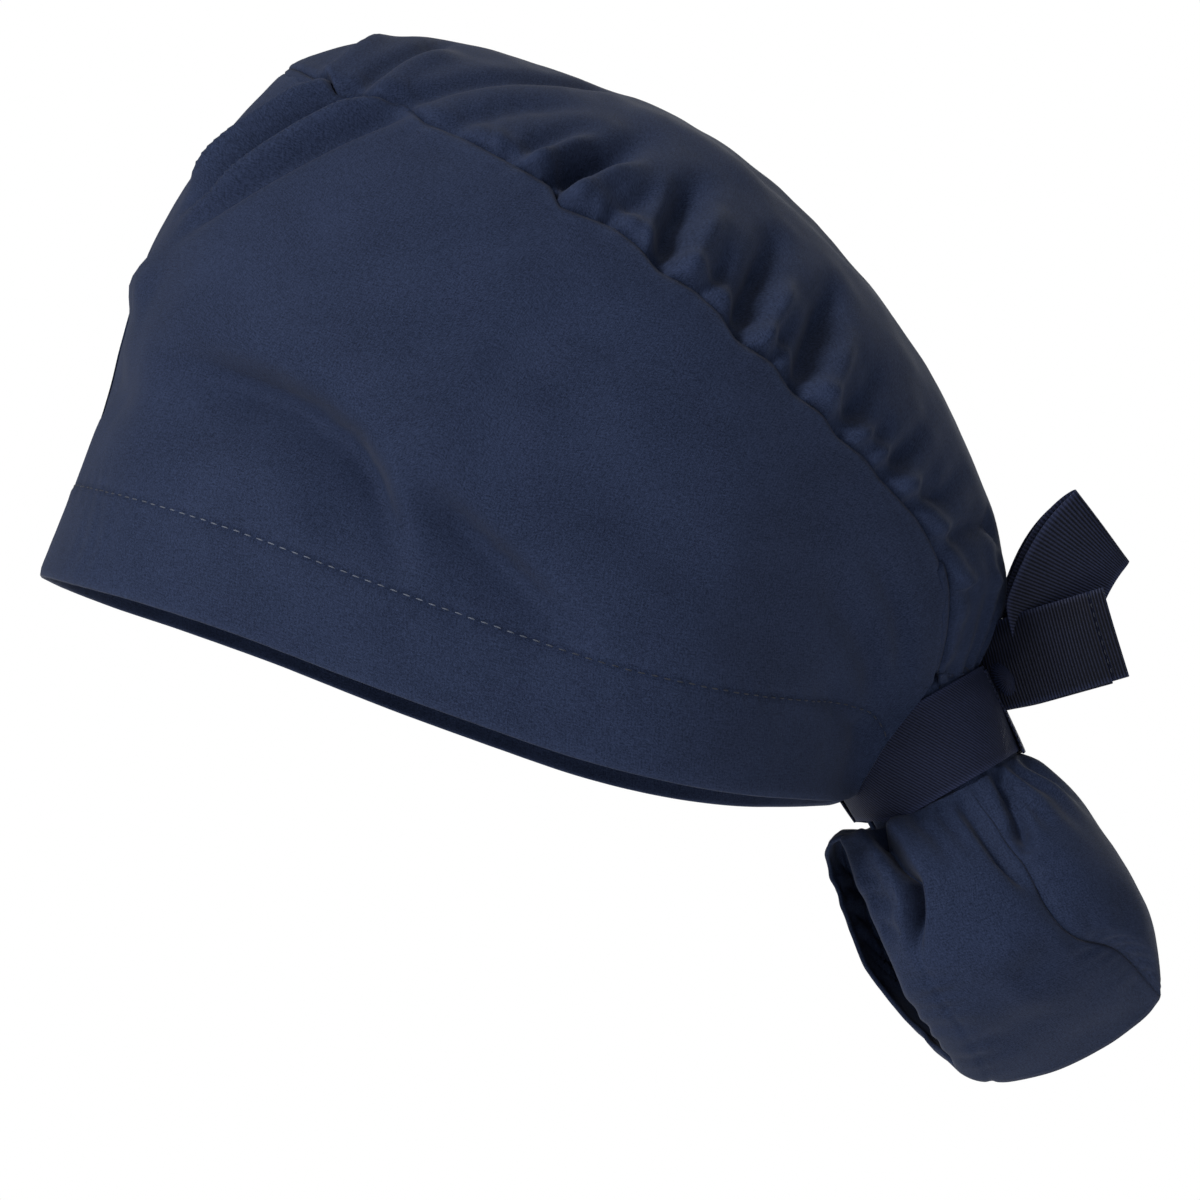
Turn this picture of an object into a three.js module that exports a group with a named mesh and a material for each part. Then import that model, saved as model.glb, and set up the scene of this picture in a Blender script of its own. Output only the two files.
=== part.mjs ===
// A tie-back scrub cap: a wrap-round front and side panel, a gathered crown, a neck that a ribbon draws
// in, and a
// pouch that hangs below it and is open towards the nape. +Z is up, -X is the front, and -Y is the
// wearer's left.
// The origin is the middle of the head opening.
import * as THREE from "three";

// Sizes that can be set, in millimetres and degrees
const openingLength = 193; // the head opening, front to back
const openingWidth = 158; // the head opening, side to side
const openingFall = 54; // from the opening's front down to its back
const capHeight = 156; // from the middle of the opening up to the top of the crown
const hemDepth = 24; // the turned-in hem at the rim
const clothWall = 1.6;
const hemWall = 2.4;
const pouchWall = 1.4;
const seamGap = 0.4; // between the edges of two panels
const edgeBevel = 0.6; // how far the inner face stops short of the outer one
const neckRadius = 19.5; // the cloth gathered under the ribbon
const neckRise = 12; // from the back of the opening up to the middle of the neck
const neckTilt = 60; // how steeply the neck runs down and back
const ribbonWidth = 22;
const ribbonWall = 1;
const ribbonGap = 0.3; // between the ribbon and the cloth under it and over it
const pouchReach = 56; // from the middle of the neck back to the pouch's corner
const pouchDrop = 82; // from the middle of the neck down to the pouch's bottom
const pouchWidth = 64; // side to side at its seams
const pouchTurn = 4; // degrees about the upright, which shows its open front to the wearer's left
const pouchBulge = 9; // how far each side stands out past its seam and its edge
const knotThickness = 9;
const knotWidth = 15;
const knotHeight = 13;
const loopBack = 21.5; // from the knot to the fold of a bow loop, by its three ways
const loopOut = 11;
const loopUp = 36;
const loopOpening = 6; // between the two layers of a bow loop
const tailLength = 27.5;
const tailHem = 4; // the folded end of a bow tail

const halfLength = openingLength / 2;
const halfWidth = openingWidth / 2;
const halfFall = openingFall / 2;
const ribbonHalf = ribbonWidth / 2;

// Materials
const poplin = () => new THREE.MeshStandardMaterial({ color: 0x1d2740, roughness: 0.85, metalness: 0 });
const grosgrain = () => new THREE.MeshStandardMaterial({ color: 0x1a2136, roughness: 0.6, metalness: 0 });

// Sections of the cap from the front (0) to the neck (1): where the rib that starts at the rim crosses
// the long seam
// and where it meets the top line. x is a share of half the opening's length and y of half its width.
// rimZ is a share
// of half the fall, and seamZ and topZ are shares of the cap's height. lean is the rib's outward lean at
// the rim.
const sections = table("at rimX rimY rimZ seamX seamY seamZ topX topZ lean fullness", [
  [0.0, -1.0, 0.0, 1.0, -0.398, 0.0, 0.955, -0.398, 0.955, -25, 1.42],
  [0.08, -0.969, 0.278, 0.956, -0.363, 0.266, 0.935, -0.342, 0.97, -22, 1.4],
  [0.16, -0.87, 0.532, 0.833, -0.269, 0.468, 0.897, -0.228, 0.992, -15, 1.34],
  [0.25, -0.705, 0.734, 0.648, -0.11, 0.625, 0.86, -0.052, 1.002, -5, 1.25],
  [0.35, -0.466, 0.892, 0.352, 0.07, 0.76, 0.793, 0.135, 0.979, 2, 1.18],
  [0.45, -0.187, 0.981, -0.037, 0.275, 0.855, 0.712, 0.363, 0.933, 6, 1.15],
  [0.55, 0.083, 1.0, -0.389, 0.461, 0.905, 0.633, 0.56, 0.885, 7, 1.15],
  [0.65, 0.342, 0.994, -0.704, 0.65, 0.905, 0.537, 0.756, 0.811, 6, 1.15],
  [0.75, 0.58, 0.924, -0.907, 0.829, 0.835, 0.436, 0.943, 0.708, 5, 1.12],
  [0.83, 0.756, 0.759, -0.993, 0.984, 0.734, 0.346, 1.098, 0.59, 5, 1.12],
  [0.88, 0.85, 0.614, -1.007, 1.098, 0.62, 0.279, 1.218, 0.471, 4, 1.1],
  [0.92, 0.912, 0.481, -1.011, 1.19, 0.5, 0.208, 1.326, 0.34, 4, 1.1],
  [0.95, 0.951, 0.367, -1.011, 1.235, 0.4, 0.141, 1.389, 0.224, 4, 1.1],
  [0.97, 0.974, 0.285, -1.011, 1.235, 0.323, 0.077, 1.403, 0.141, 3, 1.1],
  [1.0, 1.0, 0.19, -1.011, 1.207, 0.241, 0.013, 1.358, 0.058, 3, 1.1],
]);

// The side panel's back edge, from the hem (0) up to the long seam (1): the angle round the neck from the
// nape, the
// way along the neck as a share of half the ribbon's width, and the room left over the ribbon as a share
// of the wall.
const backEdge = table("at angle along room", [
  [0.0, 33, 0.07, 0.35],
  [0.25, 50, -0.25, 0.3],
  [0.5, 68, -0.6, 0.25],
  [0.75, 94, -0.95, 0.25],
  [1.0, 116, -1.27, 0.25],
]);

// Folds of the cloth. from and to are places along the cap (0 front, 1 neck), low and high are heights on
// the rib
// (0 rim, 1 seam, 2 top line), width is across the fold in the same shares, and depth is in from the
// smooth form.
const folds = table("from low to high width depth", [
  [0.15, 0.44, 0.4, 0.2, 0.04, 0.022],
  [0.39, 0.4, 0.6, 0.2, 0.035, 0.014],
  [0.1, 0.62, 0.04, 0.98, 0.018, 0.008],
  [0.2, 0.72, 0.14, 1.3, 0.022, 0.01],
  [0.26, 0.86, 0.27, 1.7, 0.02, 0.01],
  [0.4, 1.0, 0.43, 1.45, 0.018, 0.028],
  [0.475, 1.0, 0.5, 1.4, 0.014, 0.012],
  [0.555, 1.0, 0.59, 1.45, 0.018, 0.022],
  [0.65, 1.0, 0.69, 1.5, 0.02, 0.026],
  [0.735, 1.0, 0.765, 1.5, 0.018, 0.024],
  [0.805, 1.0, 0.83, 1.45, 0.015, 0.018],
  [0.86, 1.0, 0.88, 1.4, 0.013, 0.014],
  [0.91, 1.0, 0.925, 1.4, 0.013, 0.012],
]);

// Sections of the pouch from the ribbon (0) to the bottom (1). x and z are shares of the reach and the
// drop from the
// middle of the neck, and y of half the width: the open front edge, the side seam and the middle of the back.
const pouchSections = table("at edgeX edgeY edgeZ seamX seamY seamZ backX backZ out down", [
  [0.0, -0.18, 0.46, -0.22, 0.14, 0.6, -0.1, 0.4, 0.0, 0.17, 0.0],
  [0.15, -0.375, 0.75, -0.33, 0.255, 0.83, -0.26, 0.604, -0.104, 0.7, 0.0],
  [0.33, -0.305, 0.81, -0.46, 0.338, 0.95, -0.346, 0.766, -0.256, 1.0, 0.0],
  [0.5, -0.24, 0.81, -0.58, 0.421, 0.98, -0.461, 0.891, -0.402, 1.0, 0.0],
  [0.68, -0.15, 0.72, -0.7, 0.546, 0.89, -0.543, 0.955, -0.526, 1.0, 0.02],
  [0.85, -0.015, 0.46, -0.817, 0.762, 0.56, -0.585, 0.984, -0.637, 0.75, 0.07],
  [1.0, 0.125, 0.0, -0.918, 0.993, 0.0, -0.718, 0.993, -0.718, 0.0, 0.115],
]);

// The pouch's folds: across (0 open edge, 1 seam) and way down (0 ribbon, 1 bottom).
const pouchFolds = table("from low to high width depth", [
  [0.42, 0.0, 0.28, 0.5, 0.05, 0.05],
  [0.12, 0.05, 0.1, 0.4, 0.05, -0.02],
  [0.8, 0.0, 0.9, 0.4, 0.04, 0.02],
]);

// The frame of the neck: along runs down and back, out points away from the nape
const tilt = THREE.MathUtils.degToRad(neckTilt);
const neckAlong = new THREE.Vector3(Math.cos(tilt), 0, -Math.sin(tilt));
const neckOut = new THREE.Vector3(Math.sin(tilt), 0, Math.cos(tilt));
const toLeft = new THREE.Vector3(0, -1, 0);
const neckMiddle = new THREE.Vector3(halfLength + neckRadius, 0, -halfFall + neckRise);

function table(names, rows) {
  const columns = names.split(" ");
  return rows.map((row) => Object.fromEntries(columns.map((name, i) => [name, row[i]])));
}

// A column of a table as a smooth curve through its rows
function along(rows, name, at) {
  const last = rows.length - 2;
  const next = rows.findIndex((row) => row.at > at);
  const i = next < 0 ? last : Math.max(0, next - 1);
  const slope = (k) => (rows[k + 1][name] - rows[k][name]) / (rows[k + 1].at - rows[k].at);
  const run = (k) => rows[k + 1].at - rows[k].at;
  const between = (k) => (slope(k) * run(k - 1) + slope(k - 1) * run(k)) / (run(k) + run(k - 1));
  const tangent = (k) => (k === 0 ? slope(0) : k > last ? slope(last) : between(k));
  const s = THREE.MathUtils.clamp((at - rows[i].at) / run(i), 0, 1);
  return (
    (1 + 2 * s) * (1 - s) ** 2 * rows[i][name] +
    s * (1 - s) ** 2 * run(i) * tangent(i) +
    s * s * (3 - 2 * s) * rows[i + 1][name] +
    s * s * (s - 1) * run(i) * tangent(i + 1)
  );
}

const vector = (x, y, z) => new THREE.Vector3(x, y, z);
const sum = (...parts) => parts.reduce((total, [v, k]) => total.addScaledVector(v, k), vector(0, 0, 0));
const mix = THREE.MathUtils.lerp;
const ease = (x) => THREE.MathUtils.smoothstep(x, 0, 1);
const mirrored = (p) => vector(p.x, -p.y, p.z);

function hermite(p, pWay, q, qWay, s) {
  return sum(
    [p, (1 + 2 * s) * (1 - s) ** 2],
    [pWay, s * (1 - s) ** 2],
    [q, s * s * (3 - 2 * s)],
    [qWay, s * s * (s - 1)],
  );
}

// The left half of the cap
const across = (name, u) => along(sections, name + "X", u) * halfLength;
const aside = (name, u) => -along(sections, name + "Y", u) * halfWidth;
const rimAt = (u) => vector(across("rim", u), aside("rim", u), along(sections, "rimZ", u) * halfFall);
const seamAt = (u) => vector(across("seam", u), aside("seam", u), along(sections, "seamZ", u) * capHeight);
const topAt = (u) => vector(across("top", u), 0, along(sections, "topZ", u) * capHeight);

// The neck's own section: wider towards the nape, where the hem ends stand off it, and narrowing down its
// back
const neckFlare = 0.2;
const flareEnd = 80;
const flareRun = 50;
const neckTaper = 0.1;
const taperFrom = 100;
const taperRun = 50;
const taperAt = (angle) => neckTaper * ease((angle - taperFrom) / taperRun);
const neckRadiusAt = (angle, way) =>
  neckRadius * (1 + neckFlare * ease((flareEnd - angle) / flareRun)) - taperAt(angle) * way;

function roundNeck(angle, way, radius) {
  const a = THREE.MathUtils.degToRad(angle);
  const [out, left] = [-Math.cos(a) * radius, Math.sin(a) * radius];
  return sum([neckMiddle, 1], [neckAlong, way], [neckOut, out], [toLeft, left]);
}

// How the cloth runs where it crosses the long seam
function crossing(u) {
  const step = 0.001;
  const look = 0.12;
  const rim = rimAt(u);
  const seam = seamAt(u);
  const before = Math.max(u - step, 0);
  const after = Math.min(u + step, 1);
  const rimRun = rimAt(after).sub(rimAt(before)).setZ(0).normalize();
  const outward = vector(rimRun.y, -rimRun.x, 0);
  const lean = THREE.MathUtils.degToRad(along(sections, "lean", u));
  const up = sum([outward, Math.sin(lean)], [vector(0, 0, 1), Math.cos(lean)]);
  const rise = seam.clone().sub(rim).normalize();
  const over = topAt(Math.min(u + look, 1)).sub(seam).normalize();
  const overSeam = rise.add(over).normalize();
  const seamRun = seamAt(after).sub(seamAt(before)).normalize();
  return { rim, seam, up, overSeam, seamRun };
}

function ribPoint(u, s) {
  const { rim, seam, up, overSeam } = crossing(u);
  const pull = rim.distanceTo(seam) * along(sections, "fullness", u);
  return hermite(rim, up.multiplyScalar(pull), seam, overSeam.multiplyScalar(pull), s);
}

const archFullness = 1.05;
function archPoint(u, s) {
  const { seam, overSeam, seamRun } = crossing(u);
  const top = topAt(u);
  const normal = seamRun.clone().cross(overSeam).normalize();
  const way = top.clone().sub(seam);
  const pull = way.length() * archFullness;
  way.addScaledVector(normal, -way.dot(normal)).normalize();
  return hermite(seam, way.multiplyScalar(pull), top, vector(0, pull, 0), s);
}

// A curve's points by their share of its length
function evenly(pointAt) {
  const steps = 24;
  const points = Array.from({ length: steps + 1 }, (_, k) => pointAt(k / steps));
  const lengths = [0];
  for (let k = 1; k <= steps; k++) lengths.push(lengths[k - 1] + points[k].distanceTo(points[k - 1]));
  const at = (share) => {
    const goal = share * lengths[steps];
    const next = lengths.findIndex((l) => l > goal);
    const k = next < 0 ? steps - 1 : next - 1;
    return points[k].clone().lerp(points[k + 1], (goal - lengths[k]) / (lengths[k + 1] - lengths[k]));
  };
  return { at, length: lengths[steps] };
}

const known = new Map();
function curvesAt(u) {
  if (!known.has(u)) {
    known.set(u, { rib: evenly((s) => ribPoint(u, s)), arch: evenly((s) => archPoint(u, s)) });
  }
  return known.get(u);
}

// The cloth closes round the neck over the last stretch of the cap
const closingFrom = 0.965;
const closing = (u) => ease((u - closingFrom) / (1 - closingFrom));

function sidePoint(u, share) {
  const angle = along(backEdge, "angle", share);
  const wall = mix(hemWall, clothWall, ease(share * 4));
  const way = along(backEdge, "along", share) * ribbonHalf;
  const room = ribbonWall + 2 * ribbonGap + wall * (1 + along(backEdge, "room", share));
  const end = roundNeck(angle, way, neckRadiusAt(angle, way) + room);
  return curvesAt(u).rib.at(share).lerp(end, closing(u));
}

// The crown, from the long seam (0) to the top line (1); past u = 1 it is the sleeve under the ribbon
const seamEnd = backEdge[backEdge.length - 1];
function crownPoint(u, share) {
  const angle = mix(seamEnd.angle, 180, share);
  const standOff = ribbonWall + 2 * ribbonGap + clothWall * (1 + seamEnd.room);
  const mouthWay = mix(seamEnd.along * ribbonHalf, -ribbonHalf - 2 * ribbonGap, drawnIn(angle));
  const mouthRoom = mix(standOff, 0, drawnIn(angle));
  const onNeck = (way, room) => roundNeck(angle, way, neckRadiusAt(angle, way) + room);
  if (u <= 1) return curvesAt(u).arch.at(share).lerp(onNeck(mouthWay, mouthRoom), closing(u));
  const under = (u - 1) / sleeveShare;
  const end = pouchStart(angle) - panelLap * tuckedUnder(angle) - seamGap;
  return onNeck(mix(mouthWay, end, under), mix(mouthRoom, 0, Math.min(1, 1.5 * under)));
}
const sleeveShare = 0.06;
const panelLap = 3; // between the crown's end and the pouch's start, under the ribbon

// Round the neck from the long seam's end, the crown first draws in to the neck and then runs on under
// the ribbon
const roundTheBack = (angle) => (angle - seamEnd.angle) / (180 - seamEnd.angle);
const drawnShare = 0.35;
const tuckShare = 0.5;
const drawnIn = (angle) => ease(roundTheBack(angle) / drawnShare);
const tuckedUnder = (angle) => ease((roundTheBack(angle) - drawnShare) / tuckShare);

// Where the pouch's cloth starts under the ribbon: higher at the sides than at the back
const pouchStart = (angle) => mix(-ribbonHalf + 2 * ribbonGap, seamGap, tuckedUnder(angle));

const pouchSeamAngle = 98;
const pouchEdgeAngle = 40;
const pouchPlace = (name, v) => {
  const y = name === "back" ? 0 : along(pouchSections, name + "Y", v) * (pouchWidth / 2);
  return vector(
    neckMiddle.x + along(pouchSections, name + "X", v) * pouchReach,
    -y,
    neckMiddle.z + along(pouchSections, name + "Z", v) * pouchDrop,
  );
};

// v below 0 is the stretch under the ribbon, 0 its lower edge and 1 the pouch's bottom
function underRibbon(angle, v, target) {
  const way = mix(ribbonHalf + 2 * ribbonGap, pouchStart(angle), Math.max(0, -v / sleeveShare));
  const share = THREE.MathUtils.clamp(v / sleeveFade, 0, 1);
  return roundNeck(angle, way, neckRadiusAt(angle, way)).lerp(target, share);
}
const sleeveFade = 0.055;
const backFade = 0.2;
const pouchBackWay = vector(0.8, -0.25, 0.35);

const swellPower = 0.7;
function pouchSide(share, v) {
  const w = Math.max(v, 0);
  const edge = pouchPlace("edge", w);
  const seam = pouchPlace("seam", w);
  const swell = (4 * share * (1 - share)) ** swellPower;
  const place = edge.lerp(seam, share);
  place.y -= swell * along(pouchSections, "out", w) * pouchBulge;
  place.z -= swell * along(pouchSections, "down", w) * pouchDrop;
  return underRibbon(mix(pouchEdgeAngle, pouchSeamAngle, share), v, place);
}

const backFullness = 1.14;
function pouchBack(share, v) {
  const w = Math.max(v, 0);
  const seam = pouchPlace("seam", w);
  const back = pouchPlace("back", w);
  const reach = seam.distanceTo(back);
  const round = THREE.MathUtils.degToRad(pouchSeamAngle);
  const atNeck = sum([neckOut, Math.sin(round)], [toLeft, Math.cos(round)]);
  const way = atNeck.lerp(pouchBackWay, ease(w / backFade)).normalize();
  const pull = backFullness * reach;
  const place = hermite(seam, way.multiplyScalar(pull), back, vector(0, pull, 0), share);
  return underRibbon(mix(pouchSeamAngle, 180, share), v, place);
}

// How deep the folds are at a place, as shares of the named size
const foldPast = 0.15; // how far a fold runs on past its low and high ends, and the runs over which it fades
const fadeIn = 0.4;
const fadeOut = 0.5;
function foldDepth(rows, at, height) {
  let depth = 0;
  for (const fold of rows) {
    const t = (height - fold.low) / (fold.high - fold.low);
    const off = (at - mix(fold.from, fold.to, THREE.MathUtils.clamp(t, 0, 1))) / fold.width;
    const fade = ease((t + foldPast) / fadeIn) * ease((1 + foldPast - t) / fadeOut);
    depth += fold.depth * Math.exp(-off * off) * fade;
  }
  return depth;
}

// Folds fade out where two panels meet and at a hem, so that their edges stay in line
const calmRun = 0.12;
const seamCalm = (height) => ease(Math.abs(height - 1) / calmRun);
const edgeCalm = (share) => ease(share / calmRun);

// A closed solid from a grid of outside points, folded and given its wall
function clothSheet(columns, rows, pointAt, wallAt, depthAt = () => 0) {
  const grid = [];
  for (let j = 0; j <= rows; j++) for (let i = 0; i <= columns; i++) grid.push(pointAt(i, j));
  const index = (i, j) => j * (columns + 1) + i;
  const placeOf = (k) => [k % (columns + 1), Math.floor(k / (columns + 1))];
  const normals = (points) => {
    const found = [];
    for (let j = 0; j <= rows; j++)
      for (let i = 0; i <= columns; i++) {
        const left = points[index(Math.max(i - 1, 0), j)];
        const right = points[index(Math.min(i + 1, columns), j)];
        const below = points[index(i, Math.max(j - 1, 0))];
        const above = points[index(i, Math.min(j + 1, rows))];
        found.push(right.clone().sub(left).cross(above.clone().sub(below)).normalize());
      }
    return found;
  };
  const smooth = normals(grid);
  const outer = grid.map((p, k) => sum([p, 1], [smooth[k], -depthAt(...placeOf(k))]));
  const facing = normals(outer);
  const inside = outer.map((p, k) => sum([p, 1], [facing[k], -wallAt(...placeOf(k))]));
  const inwards = (n, most) => THREE.MathUtils.clamp(n, 1, most - 1);
  const inner = inside.map((p, k) => {
    const [i, j] = placeOf(k);
    const next = inside[index(inwards(i, columns), inwards(j, rows))];
    return sum([p, 1], [next.clone().sub(p).normalize(), edgeBevel]);
  });
  const size = outer.length;
  const faces = [];
  const quad = (a, b, c, d) => faces.push(a, b, c, a, c, d);
  for (let j = 0; j < rows; j++)
    for (let i = 0; i < columns; i++) {
      const corners = [index(i, j), index(i + 1, j), index(i + 1, j + 1), index(i, j + 1)];
      quad(...corners);
      quad(...corners.map((k) => k + size).reverse());
    }
  const edge = (a, b) => quad(b, a, a + size, b + size);
  for (let i = 0; i < columns; i++) {
    edge(index(i, 0), index(i + 1, 0));
    edge(index(i + 1, rows), index(i, rows));
  }
  for (let j = 0; j < rows; j++) {
    edge(index(columns, j), index(columns, j + 1));
    edge(index(0, j + 1), index(0, j));
  }
  return solidFrom([...outer, ...inner], faces);
}

// A geometry whose faces point out, whichever way round its points were given
function solidFrom(points, faces) {
  let volume = 0;
  for (let k = 0; k < faces.length; k += 3) {
    const [a, b, c] = [points[faces[k]], points[faces[k + 1]], points[faces[k + 2]]];
    volume += a.dot(b.clone().cross(c));
  }
  const geometry = new THREE.BufferGeometry();
  geometry.setAttribute("position", new THREE.Float32BufferAttribute(points.flatMap((p) => p.toArray()), 3));
  geometry.setIndex(volume < 0 ? faces.reverse() : faces);
  geometry.computeVertexNormals();
  return geometry;
}

// Both halves of a shape that is known on the left: side is -1 on the wearer's left and 1 on the right
const onSide = (side, point) => (side < 0 ? point : mirrored(point));

// The pouch hangs a little turned: not at the ribbon (v = 0), and fully a short way below it
const turnRun = 0.12;
const pouchSlope = Math.tan(THREE.MathUtils.degToRad(pouchTurn));
const turned = (point, v) => point.setX(point.x - pouchSlope * point.y * ease(v / turnRun));

function frontSidePanel() {
  const columns = 56;
  const hemRows = 2;
  const rows = 12;
  const neckEdge = 46; // the panel's back edge, from the hem up to the long seam
  const half = columns / 2;
  const place = (i) => {
    const t = (half - i) / half;
    return { side: t < 0 ? -1 : 1, u: Math.abs(t) };
  };
  const shareAt = (u, j) => {
    const { length } = curvesAt(u).rib;
    const hem = hemDepth / mix(length, neckEdge, closing(u));
    const end = 1 - seamGap / 2 / length;
    return j <= hemRows ? (j / hemRows) * hem : mix(hem, end, (j - hemRows) / (rows - hemRows));
  };
  return clothSheet(
    columns,
    rows,
    (i, j) => {
      const { side, u } = place(i);
      return onSide(side, sidePoint(u, shareAt(u, j)));
    },
    (i, j) => (j < hemRows ? hemWall : clothWall),
    (i, j) => {
      const { u } = place(i);
      const share = shareAt(u, j);
      return foldDepth(folds, u, share) * capHeight * seamCalm(share) * edgeCalm(share);
    },
  );
}

function crownPanel() {
  const columns = 24;
  const rows = 36;
  const sleeveRows = 3;
  const startAt = 0.02;
  const crowding = 1.35; // sets the rows closer together towards the neck
  const half = columns / 2;
  const place = (i, j) => {
    const t = (half - i) / half;
    const capRows = rows - sleeveRows;
    const run = 1 - (1 - Math.min(1, j / capRows)) ** crowding;
    const u = j <= capRows ? mix(startAt, 1, run) : 1 + ((j - capRows) / sleeveRows) * sleeveShare;
    const { length } = curvesAt(Math.min(u, 1)).arch;
    return { side: t < 0 ? -1 : 1, u, share: mix(seamGap / 2 / length, 1, 1 - Math.abs(t)) };
  };
  return clothSheet(
    columns,
    rows,
    (i, j) => {
      const { side, u, share } = place(i, j);
      return onSide(side, crownPoint(u, share));
    },
    () => clothWall,
    (i, j) => {
      const { u, share } = place(i, j);
      return foldDepth(folds, u, 1 + share) * capHeight * seamCalm(1 + share) * (1 - closing(Math.min(u, 1)));
    },
  );
}

// The pouch's rows run from under the left of the ribbon to the bottom and up again on the right
function pouchRows(rows) {
  const half = rows / 2;
  return (j) => {
    const t = (j - half) / half;
    return { side: t < 0 ? -1 : 1, v: 1 - Math.abs(t) * (1 + sleeveShare) };
  };
}

function pouchFrontPanel() {
  const columns = 14;
  const rows = 36;
  const rowAt = pouchRows(rows);
  return clothSheet(
    columns,
    rows,
    (i, j) => {
      const { side, v } = rowAt(j);
      return turned(onSide(side, pouchSide((1 - i / columns) * (1 - seamGap / pouchReach), v)), v);
    },
    () => pouchWall,
    (i, j) => {
      const { v } = rowAt(j);
      const share = 1 - i / columns;
      return foldDepth(pouchFolds, share, v) * pouchDrop * edgeCalm(v) * edgeCalm(1 - share);
    },
  );
}

function pouchBackPanel() {
  const columns = 14;
  const rows = 18;
  const backEnd = 0.975;
  const half = columns / 2;
  return clothSheet(
    columns,
    rows,
    (i, j) => {
      const t = (half - i) / half;
      const v = mix(-sleeveShare, backEnd, j / rows);
      const share = mix(seamGap / pouchReach, 1, 1 - Math.abs(t));
      return turned(onSide(t < 0 ? -1 : 1, pouchBack(share, v)), v);
    },
    () => pouchWall,
  );
}

// A flat ribbon along a path: stepAt gives each step's middle, the way of its width and the way it faces
function ribbonStrip(side, steps, stepAt, wallAt = () => ribbonWall) {
  const points = [];
  for (let k = 0; k <= steps; k++) {
    const { middle, across, facing, scale = 1 } = stepAt(k / steps);
    for (const [a, b] of [[-1, 0], [1, 0], [1, 1], [-1, 1]]) {
      const corner = sum([middle, 1], [across, a * ribbonHalf * scale], [facing, b * wallAt(k / steps)]);
      points.push(onSide(side, corner));
    }
  }
  const faces = [];
  for (let k = 0; k < steps; k++)
    for (let c = 0; c < 4; c++) {
      const [a, b] = [4 * k + c, 4 * k + ((c + 1) % 4)];
      faces.push(a, b, b + 4, a, b + 4, a + 4);
    }
  const end = 4 * steps;
  faces.push(0, 2, 1, 0, 3, 2, end, end + 1, end + 2, end, end + 2, end + 3);
  return solidFrom(points, faces);
}

// A tie runs from its hem end, under the panel's edge, round to the knot
const tieStart = 17;
const tieEnd = 168;
const tieDip = -0.42; // how far the start lies off the neck's middle, as a share of half the ribbon's width
function tie(side) {
  return ribbonStrip(side, 26, (t) => {
    const angle = mix(tieStart, tieEnd, t);
    const way = tieDip * ribbonHalf * (1 - ease((angle - tieStart) / 40));
    const a = THREE.MathUtils.degToRad(angle);
    const facing = sum([neckOut, -Math.cos(a)], [toLeft, Math.sin(a)]);
    const middle = roundNeck(angle, way, neckRadiusAt(angle, way) + ribbonGap);
    return { middle, across: sum([neckAlong, 1], [facing, -taperAt(angle)]).normalize(), facing };
  });
}

// The knot is a rounded block that sits on both ties behind the neck
const knotPlace = -0.45; // along the neck, as a share of half the ribbon's width
const knotRadius = neckRadius + 2 * ribbonGap + ribbonWall + knotThickness / 2;
const knotMiddle = sum([neckMiddle, 1], [neckAlong, knotPlace * ribbonHalf], [neckOut, knotRadius]);
function knot() {
  const geometry = new THREE.SphereGeometry(1, 16, 8);
  const position = geometry.attributes.position;
  const blunt = (x) => Math.sign(x) * Math.abs(x) ** 0.6;
  const sizes = [knotHeight / 2, knotWidth / 2, knotThickness / 2];
  for (let k = 0; k < position.count; k++) {
    const p = vector(position.getX(k), position.getY(k), position.getZ(k));
    position.setXYZ(k, ...sizes.map((size, axis) => blunt(p.getComponent(axis)) * size));
  }
  geometry.computeVertexNormals();
  return geometry;
}

// A loop rises from the knot, leans back and folds over at its tip. It starts and ends a little short of
// a full turn.
const loopRootWay = vector(0.4, -0.3, 0.85);
const loopTipWay = vector(0.8, -0.2, 0.56);
const loopShort = 0.12;
const loopRootWidth = 0.45; // as a share of the ribbon's
const loopRootGap = 1.1; // from the loop's middle to each layer, at the knot
const loopFullness = 0.65;
function bowLoop(side) {
  const root = sum([knotMiddle, 1], [toLeft, loopOut / 3], [neckOut, knotThickness / 2 + 2], [neckAlong, -1]);
  const tip = vector(loopBack, -loopOut, loopUp).add(knotMiddle);
  const pull = root.distanceTo(tip);
  const depth = loopRootWay.clone().cross(loopTipWay).normalize();
  const rootWay = loopRootWay.clone().setLength(pull);
  const tipWay = loopTipWay.clone().setLength(pull);
  const middleAt = (s) => hermite(root, rootWay, tip, tipWay, s);
  const shareAt = (turn) => (1 - Math.cos(turn)) / 2;
  const openAt = (turn) =>
    Math.sin(turn) * Math.sin(turn / 2) * loopOpening * loopFullness + Math.cos(turn / 2) * loopRootGap;
  const layerAt = (turn) => sum([middleAt(shareAt(turn)), 1], [depth, openAt(turn)]);
  const step = 0.01;
  return ribbonStrip(side, 30, (t) => {
    const turn = mix(loopShort, 2 * Math.PI - loopShort, t);
    const s = shareAt(turn);
    const run = middleAt(Math.min(1, s + step)).sub(middleAt(Math.max(0, s - step)));
    const acrossLoop = run.cross(depth).normalize();
    const facing = layerAt(turn + step).sub(layerAt(turn - step)).cross(acrossLoop).normalize();
    return { middle: layerAt(turn), across: acrossLoop, facing, scale: mix(loopRootWidth, 1, ease(s * 3)) };
  });
}

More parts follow.
